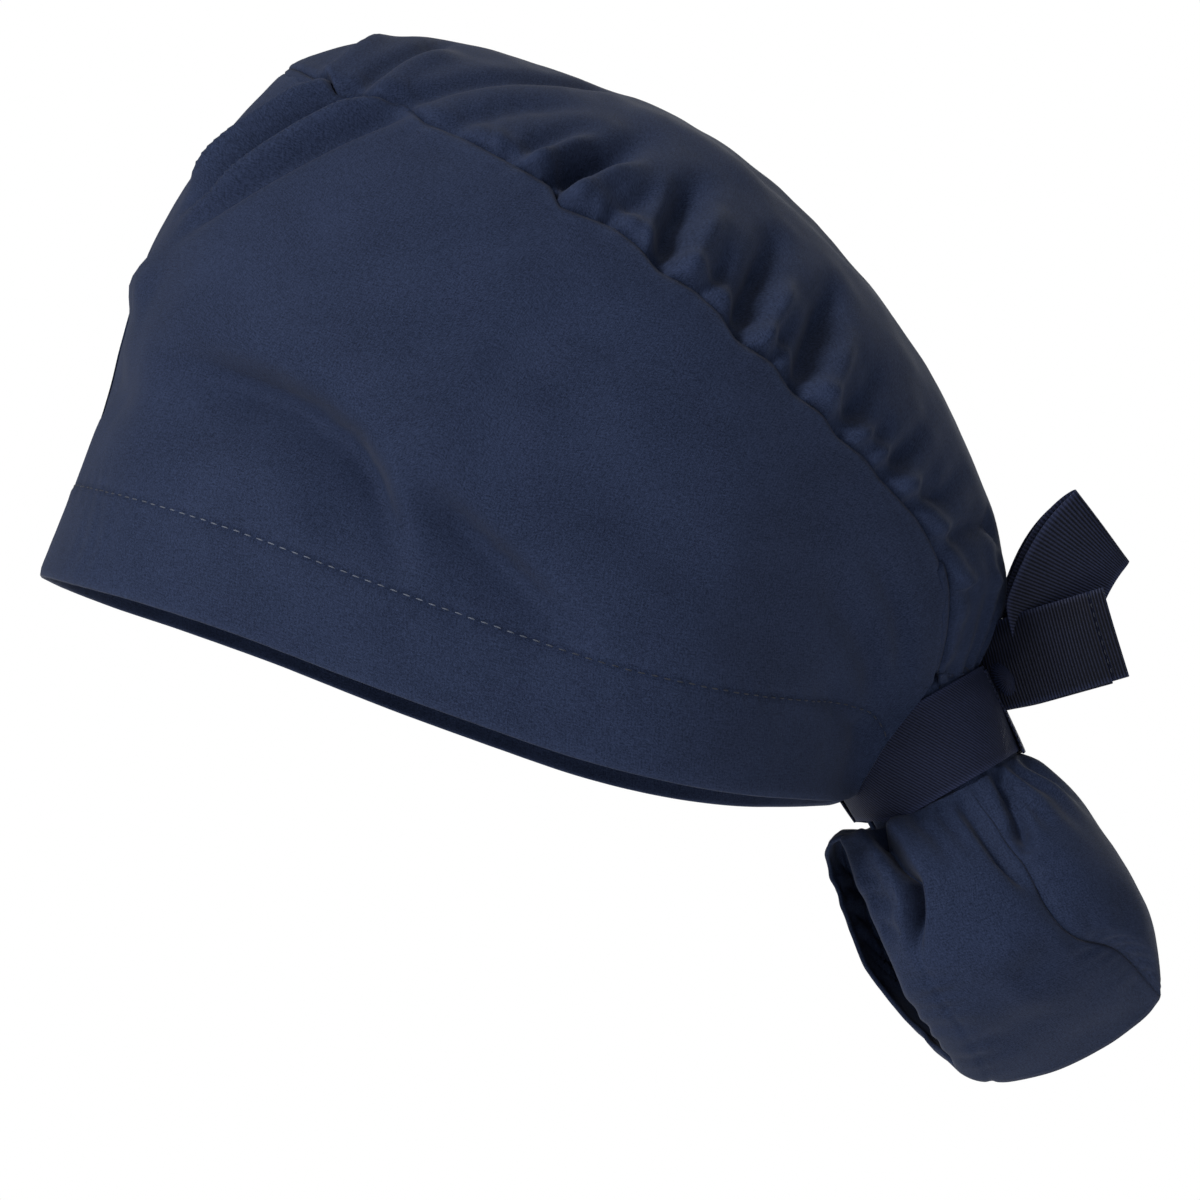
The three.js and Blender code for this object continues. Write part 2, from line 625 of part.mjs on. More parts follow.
// A tail runs back from the knot's side to its cut end, which is folded over
const tailWay = vector(0.84, -0.44, 0.24);
const tailAcross = vector(0.26, 0, -0.965);
const tailRootWidth = 0.7; // as a share of the ribbon's
function bowTail(side) {
  const way = tailWay.clone().normalize();
  const width = sum([tailAcross, 1], [way, -tailAcross.dot(way)]).normalize();
  const root = sum([knotMiddle, 1], [toLeft, knotWidth / 2 + ribbonGap], [neckOut, 2], [neckAlong, -3]);
  const facing = width.clone().cross(way).normalize();
  const hem = tailHem / tailLength;
  return ribbonStrip(
    side,
    10,
    (t) => {
      const middle = sum([root, 1], [way, t * tailLength]);
      return { middle, across: width, facing, scale: mix(tailRootWidth, 1, ease(t * 3)) };
    },
    (t) => (t > 1 - hem ? 2 * ribbonWall : ribbonWall),
  );
}

const cap = new THREE.Group();

function add(name, geometry, material, parent = cap) {
  const mesh = new THREE.Mesh(geometry, material);
  mesh.name = name;
  parent.add(mesh);
  return mesh;
}

add("front_side_panel", frontSidePanel(), poplin());
add("crown_panel", crownPanel(), poplin());
add("pouch_front_panel", pouchFrontPanel(), poplin());
add("pouch_back_panel", pouchBackPanel(), poplin());
const bow = new THREE.Group();
cap.add(bow);
add("tie_left", tie(-1), grosgrain(), bow);
add("tie_right", tie(1), grosgrain(), bow);
add("bow_loop_left", bowLoop(-1), grosgrain(), bow);
add("bow_loop_right", bowLoop(1), grosgrain(), bow);
add("bow_tail_left", bowTail(-1), grosgrain(), bow);
add("bow_tail_right", bowTail(1), grosgrain(), bow);
const bowKnot = add("bow_knot", knot(), grosgrain(), bow);
bowKnot.position.copy(knotMiddle);
bowKnot.rotation.y = tilt;

export default cap;
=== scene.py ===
import math
import bpy
import numpy as np
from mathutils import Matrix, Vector, noise


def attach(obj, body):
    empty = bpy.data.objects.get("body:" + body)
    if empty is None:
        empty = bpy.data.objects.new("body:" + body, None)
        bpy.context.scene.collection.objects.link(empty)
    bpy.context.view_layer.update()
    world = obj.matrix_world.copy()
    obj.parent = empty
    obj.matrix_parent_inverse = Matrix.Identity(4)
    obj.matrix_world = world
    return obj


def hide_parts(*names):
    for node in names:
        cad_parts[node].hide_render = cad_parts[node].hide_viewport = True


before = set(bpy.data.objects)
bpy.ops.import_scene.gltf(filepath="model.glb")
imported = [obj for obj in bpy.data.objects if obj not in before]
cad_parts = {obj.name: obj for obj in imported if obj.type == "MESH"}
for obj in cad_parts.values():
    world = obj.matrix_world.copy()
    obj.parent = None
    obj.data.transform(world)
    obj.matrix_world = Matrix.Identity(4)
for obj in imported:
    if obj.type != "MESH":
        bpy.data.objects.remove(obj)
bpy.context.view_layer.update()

# sizes in millimetres, angles in degrees, and shares of a length as fractions
capShape = dict(openingLength=193, openingWidth=158, openingFall=54, capHeight=156, hemDepth=24, stitchIn=1.6,
                cloth=0.45, hemGap=1.25, seamDip=0.9, seamDipWidth=1.1, closingFrom=0.965, sleeveShare=0.06,
                panelLap=3.0, seamGap=0.4, leanAhead=0.12, archPull=1.05, sideFold=2.4, crownFold=1.85)
neckShape = dict(radius=19.5, rise=12, tilt=60, flare=0.2, flareEnd=80, flareRun=50, taper=0.1, taperFrom=100,
                 taperRun=50, drawnShare=0.35, tuckShare=0.5)
ribbonShape = dict(width=22, wall=1.0, gap=0.3, thick=0.55, cover=1.75, pulled=-0.6)
pouchShape = dict(reach=56, drop=82, width=64, bulge=9, turn=4, seamAngle=98, edgeAngle=30, fade=0.055,
                  backFade=0.2, backWay=(0.8, -0.25, 0.35), backPull=1.14, hemDepth=9, hemGap=1.2, seamDip=0.03,
                  lining=5.5, flare=2.0, flareLap=0.1, flareRun=1.8, flareUntil=108, flareFade=10)
tieShape = dict(start=17, leftEnd=177, rightEnd=197, rightLift=0.75, rightSlant=1.2, liftFrom=0.48, dip=-0.42,
                dipRun=40)
bowShape = dict(knotThickness=9, knotWidth=15, knotHeight=13, knotPlace=-0.45, loopBack=21.5, loopOut=11, loopUp=36,
                loopOpening=6, loopTurn=0.25, loopEnd=0.12, loopRoot=0.42, tailLength=27.5, tailHem=4, tailRoot=8.5,
                tailNarrowed=0.93, tailWay=(0.84, -0.44, 0.24), tailAcross=(0.26, 0, -0.965))


def table(names, rows):
    columns = names.split()
    return {name: np.array([row[i] for row in rows], float) for i, name in enumerate(columns)}


# the left side from the front (0) to the neck (1), in shares of the cap's half length, half width, half fall and
# height
sections = table("at rimX rimY rimZ seamX seamY seamZ topX topZ lean fullness", [
    [0.0, -1.0, 0.0, 1.0, -0.398, 0.0, 0.955, -0.398, 0.955, -25, 1.42],
    [0.08, -0.969, 0.278, 0.956, -0.363, 0.266, 0.935, -0.342, 0.97, -22, 1.4],
    [0.16, -0.87, 0.532, 0.833, -0.269, 0.468, 0.897, -0.228, 0.992, -15, 1.34],
    [0.25, -0.705, 0.734, 0.648, -0.11, 0.625, 0.86, -0.052, 1.002, -5, 1.25],
    [0.35, -0.466, 0.892, 0.352, 0.07, 0.76, 0.793, 0.135, 0.979, 2, 1.18],
    [0.45, -0.187, 0.981, -0.037, 0.275, 0.855, 0.712, 0.363, 0.933, 6, 1.15],
    [0.55, 0.083, 1.0, -0.389, 0.461, 0.905, 0.633, 0.56, 0.885, 7, 1.15],
    [0.65, 0.342, 0.994, -0.704, 0.65, 0.905, 0.537, 0.756, 0.811, 6, 1.15],
    [0.75, 0.58, 0.924, -0.907, 0.829, 0.835, 0.436, 0.943, 0.708, 5, 1.12],
    [0.83, 0.756, 0.759, -0.993, 0.984, 0.734, 0.346, 1.098, 0.59, 5, 1.12],
    [0.88, 0.85, 0.614, -1.007, 1.098, 0.62, 0.279, 1.218, 0.471, 4, 1.1],
    [0.92, 0.912, 0.481, -1.011, 1.19, 0.5, 0.208, 1.326, 0.34, 4, 1.1],
    [0.95, 0.951, 0.367, -1.011, 1.235, 0.4, 0.141, 1.389, 0.224, 4, 1.1],
    [0.97, 0.974, 0.285, -1.011, 1.235, 0.323, 0.077, 1.403, 0.141, 3, 1.1],
    [1.0, 1.0, 0.19, -1.011, 1.207, 0.241, 0.013, 1.358, 0.058, 3, 1.1]])
# where the side panel's end lies on the neck, from the rim (0) to the long seam (1)
backEdge = table("at angle along", [
    [0.0, 33, 0.07], [0.25, 50, -0.25], [0.5, 68, -0.6], [0.75, 94, -0.95], [1.0, 116, -1.27]])
# the pouch from the ribbon (0) to its lowest corner (1), in shares of its reach, half width and drop
pouchSections = table("at edgeX edgeY edgeZ seamX seamY seamZ backX backZ out down", [
    [0.0, -0.4, 0.4, -0.225, 0.14, 0.6, -0.1, 0.4, 0.0, 0.17, 0.0],
    [0.15, -0.375, 0.75, -0.33, 0.255, 0.83, -0.26, 0.604, -0.104, 0.7, 0.0],
    [0.33, -0.305, 0.81, -0.46, 0.338, 0.95, -0.346, 0.766, -0.256, 1.0, 0.0],
    [0.5, -0.24, 0.81, -0.58, 0.421, 0.98, -0.461, 0.891, -0.402, 1.0, 0.0],
    [0.68, -0.15, 0.72, -0.7, 0.546, 0.89, -0.543, 0.955, -0.526, 1.0, 0.02],
    [0.85, -0.015, 0.46, -0.817, 0.762, 0.56, -0.585, 0.984, -0.637, 0.75, 0.07],
    [1.0, 0.125, 0.0, -0.918, 0.993, 0.0, -0.718, 0.993, -0.718, 0.0, 0.115]])


def column(rows, name, at):
    ats, values = rows["at"], rows[name]
    run = np.diff(ats)
    slope = np.diff(values) / run
    tangent = np.concatenate([[slope[0]], (slope[1:] * run[:-1] + slope[:-1] * run[1:]) / (run[1:] + run[:-1]),
                              [slope[-1]]])
    at = np.asarray(at, float)
    i = np.clip(np.searchsorted(ats, at, side="right") - 1, 0, len(run) - 1)
    s = np.clip((at - ats[i]) / run[i], 0, 1)
    return ((1 + 2 * s) * (1 - s) ** 2 * values[i] + s * (1 - s) ** 2 * run[i] * tangent[i]
            + s * s * (3 - 2 * s) * values[i + 1] + s * s * (s - 1) * run[i] * tangent[i + 1])


def ease(x):
    x = np.clip(x, 0, 1)
    return x * x * (3 - 2 * x)


def mix(a, b, t):
    return a + (b - a) * t


def unit(v):
    return v / np.maximum(np.linalg.norm(v, axis=-1, keepdims=True), 1e-12)


def hermite(p, pWay, q, qWay, s):
    return ((1 + 2 * s) * (1 - s) ** 2 * p + s * (1 - s) ** 2 * pWay
            + s * s * (3 - 2 * s) * q + s * s * (s - 1) * qWay)


# 1 at a distance of 0, fading out past the width
def near(distance, width):
    return np.exp(-(distance / width) ** 2)


halfLength = capShape["openingLength"] / 2
halfWidth = capShape["openingWidth"] / 2
halfFall = capShape["openingFall"] / 2
ribbonHalf = ribbonShape["width"] / 2
tilt = math.radians(neckShape["tilt"])
neckAlong = np.array([math.cos(tilt), 0, -math.sin(tilt)])
neckOut = np.array([math.sin(tilt), 0, math.cos(tilt)])
toLeft = np.array([0.0, -1, 0])
neckMiddle = np.array([halfLength + neckShape["radius"], 0, -halfFall + neckShape["rise"]])
seamAngle, seamAlong = backEdge["angle"][-1], backEdge["along"][-1]
capHeart, pouchHeart = (0, 0, 20), (128, 0, -55)  # the cloth faces away from these


def sectionLine(name, high):
    def at(u):
        y = 0 * u if name == "top" else -column(sections, name + "Y", u) * halfWidth
        return np.stack([column(sections, name + "X", u) * halfLength, y, column(sections, name + "Z", u) * high], -1)
    return at


rimAt, seamAt, topAt = (sectionLine(name, high) for name, high in (
    ("rim", halfFall), ("seam", capShape["capHeight"]), ("top", capShape["capHeight"])))


def taperAt(angle):
    return neckShape["taper"] * ease((angle - neckShape["taperFrom"]) / neckShape["taperRun"])


def neckRadiusAt(angle, way):
    flare = neckShape["flare"] * ease((neckShape["flareEnd"] - angle) / neckShape["flareRun"])
    return neckShape["radius"] * (1 + flare) - taperAt(angle) * way


def roundNeck(angle, way, radius):
    a = np.radians(angle)[..., None]
    radius = np.asarray(radius)[..., None]
    return (neckMiddle + neckAlong * np.asarray(way)[..., None] - neckOut * np.cos(a) * radius
            + toLeft * np.sin(a) * radius)


def crossing(u):
    rim, seam = rimAt(u), seamAt(u)
    before, after = np.maximum(u - 0.001, 0), np.minimum(u + 0.001, 1)
    rimRun = rimAt(after) - rimAt(before)
    rimRun[..., 2] = 0
    rimRun = unit(rimRun)
    outward = np.stack([rimRun[..., 1], -rimRun[..., 0], 0 * u], -1)
    lean = np.radians(column(sections, "lean", u))[..., None]
    up = outward * np.sin(lean) + np.array([0, 0, 1.0]) * np.cos(lean)
    overSeam = unit(unit(seam - rim) + unit(topAt(np.minimum(u + capShape["leanAhead"], 1)) - seam))
    return rim, seam, up, overSeam, unit(seamAt(after) - seamAt(before))


curveSteps = np.linspace(0, 1, 73)[None, :, None]


def ribCurve(u):
    rim, seam, up, overSeam = crossing(u)[:4]
    pull = (np.linalg.norm(rim - seam, axis=-1) * column(sections, "fullness", u))[:, None]
    return hermite(rim[:, None], (up * pull)[:, None], seam[:, None], (overSeam * pull)[:, None], curveSteps)


def archCurve(u):
    seam, overSeam, seamRun = (crossing(u)[k] for k in (1, 3, 4))
    top = topAt(u)
    normal = unit(np.cross(seamRun, overSeam))
    way = top - seam
    pull = capShape["archPull"] * np.linalg.norm(way, axis=-1)[:, None]
    way = unit(way - normal * np.sum(way * normal, -1, keepdims=True))
    side = np.tile([0.0, 1, 0], (len(u), 1)) * pull
    return hermite(seam[:, None], (way * pull)[:, None], top[:, None], side[:, None], curveSteps)


def evenly(curve, shares):
    lengths = np.concatenate([np.zeros((len(curve), 1)),
                              np.cumsum(np.linalg.norm(np.diff(curve, axis=1), axis=-1), axis=1)], axis=1)
    out = np.empty(shares.shape + (3,))
    for i in range(len(curve)):
        for axis in range(3):
            out[i, :, axis] = np.interp(shares[i] * lengths[i, -1], lengths[i], curve[i, :, axis])
    return out, lengths[:, -1]


def closing(u):
    return ease((u - capShape["closingFrom"]) / (1 - capShape["closingFrom"]))[..., None]


# the side panel and the crown on the left: u has one value for each row of points, share one for each point
def sideSurface(u, share):
    points, length = evenly(ribCurve(u), share)
    angle = column(backEdge, "angle", share)
    way = column(backEdge, "along", share) * ribbonHalf
    end = roundNeck(angle, way, neckRadiusAt(angle, way) + ribbonShape["cover"])
    return mix(points, end, closing(u)[:, None]), length


def roundTheBack(angle):
    return (angle - seamAngle) / (180 - seamAngle)


def drawnIn(angle):
    return ease(roundTheBack(angle) / neckShape["drawnShare"])


def tuckedUnder(angle):
    return ease((roundTheBack(angle) - neckShape["drawnShare"]) / neckShape["tuckShare"])


def pouchStart(angle):
    return mix(-ribbonHalf + 2 * ribbonShape["gap"], capShape["seamGap"], tuckedUnder(angle))


def crownSurface(u, share):
    inCap = np.minimum(u, 1)
    points, length = evenly(archCurve(inCap), share)
    angle = mix(seamAngle, 180, share)
    mouthWay = mix(seamAlong * ribbonHalf, -ribbonHalf - 2 * ribbonShape["gap"], drawnIn(angle))
    mouthRoom = mix(ribbonShape["cover"], 0, drawnIn(angle))
    under = np.maximum(u - 1, 0)[:, None] / capShape["sleeveShare"]
    end = pouchStart(angle) - capShape["panelLap"] * tuckedUnder(angle) - capShape["seamGap"]
    way = mix(mouthWay, end, under)
    room = mix(mouthRoom, 0, np.minimum(1, 1.5 * under))
    neck = roundNeck(angle, way, neckRadiusAt(angle, way) + room)
    return mix(points, neck, np.where(u > 1, 1.0, closing(inCap)[:, 0])[:, None, None]), length


def pouchPlace(name, v):
    y = 0 * v if name == "back" else column(pouchSections, name + "Y", v) * pouchShape["width"] / 2
    return np.stack([neckMiddle[0] + column(pouchSections, name + "X", v) * pouchShape["reach"], -y,
                     neckMiddle[2] + column(pouchSections, name + "Z", v) * pouchShape["drop"]], -1)


def underRibbon(angle, v, target):
    inner = pouchStart(angle) - pouchShape["lining"] * (1 - tuckedUnder(angle))
    way = mix(ribbonHalf + 2 * ribbonShape["gap"], inner, np.maximum(0, -v / capShape["sleeveShare"]))
    share = np.clip(v / pouchShape["fade"], 0, 1)[..., None]
    flared = pouchShape["flare"] * ease((pouchShape["flareLap"] - ribbonHalf - way) / pouchShape["flareRun"])
    flared = flared * (1 - ease((angle - pouchShape["flareUntil"]) / pouchShape["flareFade"]))
    return mix(roundNeck(angle, way, neckRadiusAt(angle, way) + flared), target, share)


def pouchSideSurface(share, v):
    w = np.maximum(v, 0)
    swell = (4 * share * (1 - share)).clip(0, 1) ** 0.7
    place = mix(pouchPlace("edge", w), pouchPlace("seam", w), share[..., None])
    place[..., 1] -= swell * column(pouchSections, "out", w) * pouchShape["bulge"]
    place[..., 2] -= swell * column(pouchSections, "down", w) * pouchShape["drop"]
    return underRibbon(mix(pouchShape["edgeAngle"], pouchShape["seamAngle"], share), v, place)


def pouchBackSurface(share, v):
    w = np.maximum(v, 0)
    seam, back = pouchPlace("seam", w), pouchPlace("back", w)
    turn = math.radians(pouchShape["seamAngle"])
    atNeck = neckOut * math.sin(turn) + toLeft * math.cos(turn)
    way = unit(mix(atNeck, np.array(pouchShape["backWay"]), ease(w / pouchShape["backFade"])[..., None]))
    pull = pouchShape["backPull"] * np.linalg.norm(seam - back, axis=-1)[..., None]
    place = hermite(seam, way * pull, back, pull * np.array([0, 1.0, 0]), share[..., None])
    return underRibbon(mix(pouchShape["seamAngle"], 180, share), v, place)


def bothSides(points, side, v=None):
    points = points * np.where(np.asarray(side)[..., None] < 0, 1.0, [1.0, -1.0, 1.0])
    if v is not None:
        points[..., 0] -= math.tan(math.radians(pouchShape["turn"])) * points[..., 1] * ease(v / 0.12)
    return points


def normalsOf(points, inside):
    alongRow = np.gradient(points, axis=1)
    upColumn = np.gradient(points, axis=0)
    found = unit(np.cross(alongRow, upColumn))
    facing = np.sign(np.mean(np.sum(found * (points - np.asarray(inside, float)), -1)))
    return found * facing


def waves(points, size, seed, stretch=(1, 1, 1)):
    flat = points.reshape(-1, 3) * np.asarray(stretch) / size + seed * 17.3
    return np.array([noise.noise(Vector(p)) for p in flat]).reshape(points.shape[:-1])


def crease(path, width, depth, fade=(0.25, 0.35), above=1.0, below=1.0, power=2.0, sides=(-1, 1)):
    return dict(path=np.array(path, float), width=width, depth=depth, fade=fade, above=above, below=below, power=power,
                sides=sides)


# how deep the creases press each point in: a crease can be steeper on one side of its line than on the other
def foldsAlong(points, surface, folds, sideShift=0.0, heart=capHeart):
    depth = np.zeros(points.shape[:-1])
    fine = np.linspace(0, 1, 40)
    for fold in folds:
        known = np.linspace(0, 1, len(fold["path"]))
        u, height = (np.interp(fine, known, fold["path"][:, k]) for k in (0, 1))
        for side in fold["sides"]:
            line = surface(u + (sideShift if side > 0 else 0), height, side)
            nearest = np.full(points.shape[:-1], 1e9)
            place = np.zeros(points.shape[:-1])
            above = np.zeros(points.shape[:-1])
            for k in range(len(line) - 1):
                a, b = line[k], line[k + 1]
                t = np.clip(((points - a) @ (b - a)) / max((b - a) @ (b - a), 1e-9), 0, 1)
                d = np.linalg.norm(points - (a + t[..., None] * (b - a)), axis=-1)
                closer = d < nearest
                nearest = np.where(closer, d, nearest)
                place = np.where(closer, (k + t) / (len(line) - 1), place)
                turn = np.sum(np.cross(b - a, points - a) * (points - heart), -1) * -side
                above = np.where(closer, turn, above)
            fadeIn, fadeOut = fold["fade"]
            along = ease(place / fadeIn) if fadeIn else 1.0
            along = along * (ease((1 - place) / fadeOut) if fadeOut else 1.0)
            width = fold["width"] * np.where(above > 0, fold["above"], fold["below"])
            power = np.where(above > 0, 2.0, fold["power"])
            depth += fold["depth"] * along * np.exp(-(nearest / width) ** power)
    return depth


def placed(name, data):
    obj = bpy.data.objects.new(name, data)
    bpy.context.scene.collection.objects.link(obj)
    return obj


def addWall(obj, name, thick, offset):
    wall = obj.modifiers.new(name, "SOLIDIFY")
    wall.thickness, wall.offset, wall.use_rim = thick * 0.001, offset, True


def sheetMesh(name, points, uv, wearAndShading=None, inside=(0, 0, 30), thick=None):
    rows, columns = points.shape[:2]
    mesh = bpy.data.meshes.new(name)
    index = np.arange(rows * columns).reshape(rows, columns)
    quads = np.stack([index[:-1, :-1], index[:-1, 1:], index[1:, 1:], index[1:, :-1]], -1).reshape(-1, 4)
    flat = points.reshape(-1, 3)
    corners = flat[quads]
    face = np.cross(corners[:, 2] - corners[:, 0], corners[:, 3] - corners[:, 1])
    if np.sum(face * (corners.mean(1) - np.asarray(inside, float))) < 0:
        quads = quads[:, ::-1]
    mesh.from_pydata((flat * 0.001).tolist(), [], quads.tolist())
    layer = mesh.uv_layers.new(name="cloth")
    loops = np.empty(len(mesh.loops), int)
    mesh.loops.foreach_get("vertex_index", loops)
    layer.data.foreach_set("uv", (uv.reshape(-1, 2)[loops] * 0.001).ravel())
    # a point value for the colour: lighter worn edges, together with painted shade in the seam and stitch grooves and
    # the painted light and shade of each ribbon piece
    attribute = mesh.attributes.new("wearAndShading", "FLOAT", "POINT")
    attribute.data.foreach_set("value", (np.zeros(rows * columns) if wearAndShading is None else wearAndShading.ravel()).astype(float))
    mesh.shade_smooth()
    obj = placed(name, mesh)
    if thick:
        addWall(obj, "clothThickness", thick, -1)
    return obj


def lengthsAlong(points, axis):
    step = np.linalg.norm(np.diff(points, axis=axis), axis=-1)
    zero = np.zeros((1, points.shape[1]) if axis == 0 else (points.shape[0], 1))
    return np.concatenate([zero, np.cumsum(step, axis=axis)], axis=axis)


# rows past an edge that fold inwards and run back under the sheet
def turnedIn(points, normal, outwards, gap, steps):
    rows = []
    for k in range(1, steps + 1):
        a = math.pi * k / steps
        rows.append(points - normal * gap / 2 * (1 - math.cos(a)) + outwards * gap / 2 * math.sin(a))
    return rows


print("shape functions ready")


# places along the cap are u (0 front, 1 neck) and a height on the rib (0 rim, 1 long seam, 2 top line)
sideFolds = [
    crease([(0.15, 0.41), (0.22, 0.405), (0.28, 0.41), (0.33, 0.415), (0.375, 0.405), (0.41, 0.385), (0.435, 0.345),
            (0.455, 0.295), (0.475, 0.235), (0.5, 0.16)],
           4, 5.2, below=3.2, power=1.2, fade=(0.3, 0.35)),
    crease([(0.455, 0.385), (0.48, 0.365), (0.507, 0.345), (0.54, 0.32), (0.585, 0.28), (0.635, 0.235), (0.69, 0.19)],
           4, 4.0, below=2.3, power=1.3, fade=(0.5, 0.45)),
    crease([(0.25, 0.5), (0.323, 0.53), (0.4, 0.54), (0.46, 0.5), (0.5, 0.42), (0.53, 0.35)], 9, -0.7),
    crease([(0.28, 0.3), (0.36, 0.27), (0.42, 0.2)], 5, -0.5),
    crease([(0.47, 0.62), (0.52, 0.66), (0.58, 0.66), (0.65, 0.62)], 7, 0.7),
    crease([(0.55, 0.5), (0.63, 0.5), (0.72, 0.46), (0.8, 0.4)], 8, 0.7),
    crease([(0.4, 0.62), (0.463, 0.667), (0.55, 0.775), (0.61, 0.808), (0.75, 0.858)], 7, 0.7),
    crease([(0.02, 0.52), (0.07, 0.54), (0.13, 0.5)], 6, -1.1),
    crease([(0.0, 0.34), (0.06, 0.36), (0.12, 0.33), (0.2, 0.35)], 7, 1.1),
    crease([(0.05, 0.7), (0.093, 0.767), (0.13, 0.88), (0.163, 0.985)], 3.2, -2.0, (0.4, 0)),
    crease([(0.07, 0.66), (0.117, 0.733), (0.16, 0.87), (0.203, 0.985)], 2.6, 2.2, (0.4, 0)),
    crease([(0.09, 0.64), (0.14, 0.75), (0.19, 0.88), (0.235, 0.985)], 3, -1.8, (0.4, 0)),
    crease([(0.1, 0.6), (0.15, 0.72), (0.21, 0.86), (0.263, 0.985)], 3, 1.8, (0.4, 0)),
    crease([(0.6, 0.55), (0.7, 0.52), (0.8, 0.46), (0.88, 0.42)], 8, 0.6),
    crease([(0.86, 0.62), (0.92, 0.58), (0.975, 0.5)], 4, 0.9, (0.4, 0.2)),
    crease([(0.88, 0.8), (0.94, 0.74), (0.98, 0.68)], 3, 0.7, (0.4, 0.2)),
    crease([(0.88, 0.33), (0.94, 0.33), (0.98, 0.34)], 3, 0.8, (0.4, 0.2)),
]
crownFolds = [
    crease([(0.163, 1.015), (0.182, 1.25), (0.203, 1.53), (0.215, 1.8)], 3.4, -1.3, (0, 0.3)),
    crease([(0.203, 1.015), (0.235, 1.3), (0.273, 1.575), (0.3, 1.85)], 2.8, 1.5, (0, 0.3)),
    crease([(0.235, 1.015), (0.27, 1.3), (0.32, 1.6)], 3.4, -1.1, (0, 0.4)),
    crease([(0.263, 1.015), (0.34, 1.325), (0.443, 1.69), (0.5, 1.9)], 3.2, 1.5, (0, 0.3)),
    crease([(0.33, 1.015), (0.4, 1.3), (0.48, 1.55)], 3.6, 1.2, (0, 0.5)),
    crease([(0.4, 1.015), (0.44, 1.2), (0.49, 1.45)], 3.2, 1.6, (0, 0.5)),
    crease([(0.452, 1.015), (0.48, 1.16), (0.51, 1.3), (0.55, 1.55)], 4.2, 3.6, (0, 0.45)),
    crease([(0.475, 1.015), (0.505, 1.16), (0.54, 1.35)], 3.6, -2.2, (0, 0.5)),
    crease([(0.425, 1.015), (0.455, 1.2), (0.48, 1.35)], 3.2, -1.6, (0, 0.5)),
    crease([(0.523, 1.015), (0.54, 1.12), (0.57, 1.3)], 2.8, 1.9, (0, 0.6)),
    crease([(0.59, 1.015), (0.59, 1.15), (0.596, 1.32), (0.61, 1.5)], 3.8, 3.4, (0, 0.5)),
    crease([(0.614, 1.015), (0.62, 1.2), (0.63, 1.38)], 3.2, -1.8, (0, 0.5)),
    crease([(0.64, 1.015), (0.645, 1.12), (0.65, 1.25)], 2.4, 1.6, (0, 0.6)),
    crease([(0.687, 1.015), (0.687, 1.15), (0.69, 1.34), (0.7, 1.55)], 4.0, 3.6, (0, 0.5)),
    crease([(0.71, 1.015), (0.715, 1.2), (0.72, 1.36)], 3.0, -1.6, (0, 0.5)),
    crease([(0.73, 1.015), (0.73, 1.12), (0.735, 1.26)], 2.4, 1.5, (0, 0.6)),
    crease([(0.763, 1.015), (0.763, 1.2), (0.765, 1.39), (0.77, 1.6)], 3.6, 3.2, (0, 0.5)),
    crease([(0.787, 1.015), (0.79, 1.2), (0.795, 1.4)], 2.8, -1.4, (0, 0.5)),
    crease([(0.82, 1.015), (0.82, 1.1), (0.823, 1.22), (0.83, 1.5)], 3.2, 2.4, (0, 0.6)),
    crease([(0.845, 1.015), (0.847, 1.12), (0.85, 1.26)], 2.2, 1.4, (0, 0.6)),
    crease([(0.867, 1.015), (0.87, 1.15), (0.873, 1.27), (0.88, 1.6)], 2.8, 2.0, (0, 0.6)),
    crease([(0.897, 1.015), (0.9, 1.15), (0.907, 1.28), (0.915, 1.7)], 2.6, 1.9, (0, 0.5)),
    crease([(0.925, 1.015), (0.93, 1.3), (0.94, 1.7), (0.955, 1.9)], 2.6, 1.6, (0, 0.3)),
    crease([(0.945, 1.015), (0.955, 1.4), (0.965, 1.8)], 2.4, -1.0, (0, 0.3)),
    crease([(0.62, 1.75), (0.72, 1.82), (0.84, 1.86)], 7, 0.8),
    crease([(0.5, 1.65), (0.6, 1.62), (0.7, 1.6)], 8, -0.8),
]


def capLine(surface, fromHeight):
    def line(u, height, side):
        return bothSides(surface(u, np.repeat(height[:, None] - fromHeight, 2, 1))[0][:, 0], np.full(len(u), side))
    return line


sideLine, crownLine = capLine(sideSurface, 0), capLine(crownSurface, 1)


# the puckers that a gathered edge has just beside its seam
def puckers(run, distance, seed, pitch=7.5, depth=0.85, reach=9):
    phase = np.array([noise.noise(Vector((r / 23, seed * 3.1, 0))) for r in run.ravel()]).reshape(run.shape)
    strong = np.array([noise.noise(Vector((r / 15, seed * 5.7, 4))) for r in run.ravel()]).reshape(run.shape)
    wave = np.sin(2 * math.pi * (run / pitch + 1.6 * phase))
    return depth * (0.75 + 1.1 * strong) * wave * np.exp(-(distance / reach) ** 1.3)


# how far the gathers push the long seam up or down its line, in mm
seamPushes = [(0.0, 0), (0.1, 0), (0.145, -0.4), (0.163, 0.9), (0.181, -2.5), (0.203, 0.7), (0.226, -2.8),
              (0.263, 1.3), (0.3, -1.3), (0.35, 0.3), (0.42, 0.9), (0.45, 1.0), (0.468, -2.8), (0.53, 0.7),
              (0.562, 0.5), (0.59, -1.6), (0.63, 0.9), (0.665, 0.7), (0.69, -1.8), (0.735, 1.0), (0.763, -1.4),
              (0.8, 0.7), (0.82, -1.2), (0.85, 0.5), (0.867, -0.9), (0.9, 0.3), (0.95, 0), (1.0, 0)]
pushLook = dict(reach=11, smooth=[0.05, 0.1, 0.2, 0.3, 0.2, 0.1, 0.05])
# the far side has the same folds a little further along, and weaker gathers
farSide = dict(panelShift=0.012, crownShift=0.013, pushShift=0.014, pushShare=0.85, run=40.0)
seamTurns = ((0.7, 0.18), (1.6, 0.1), (2.6, -0.1))  # the seam's tuck: how far in and how far on


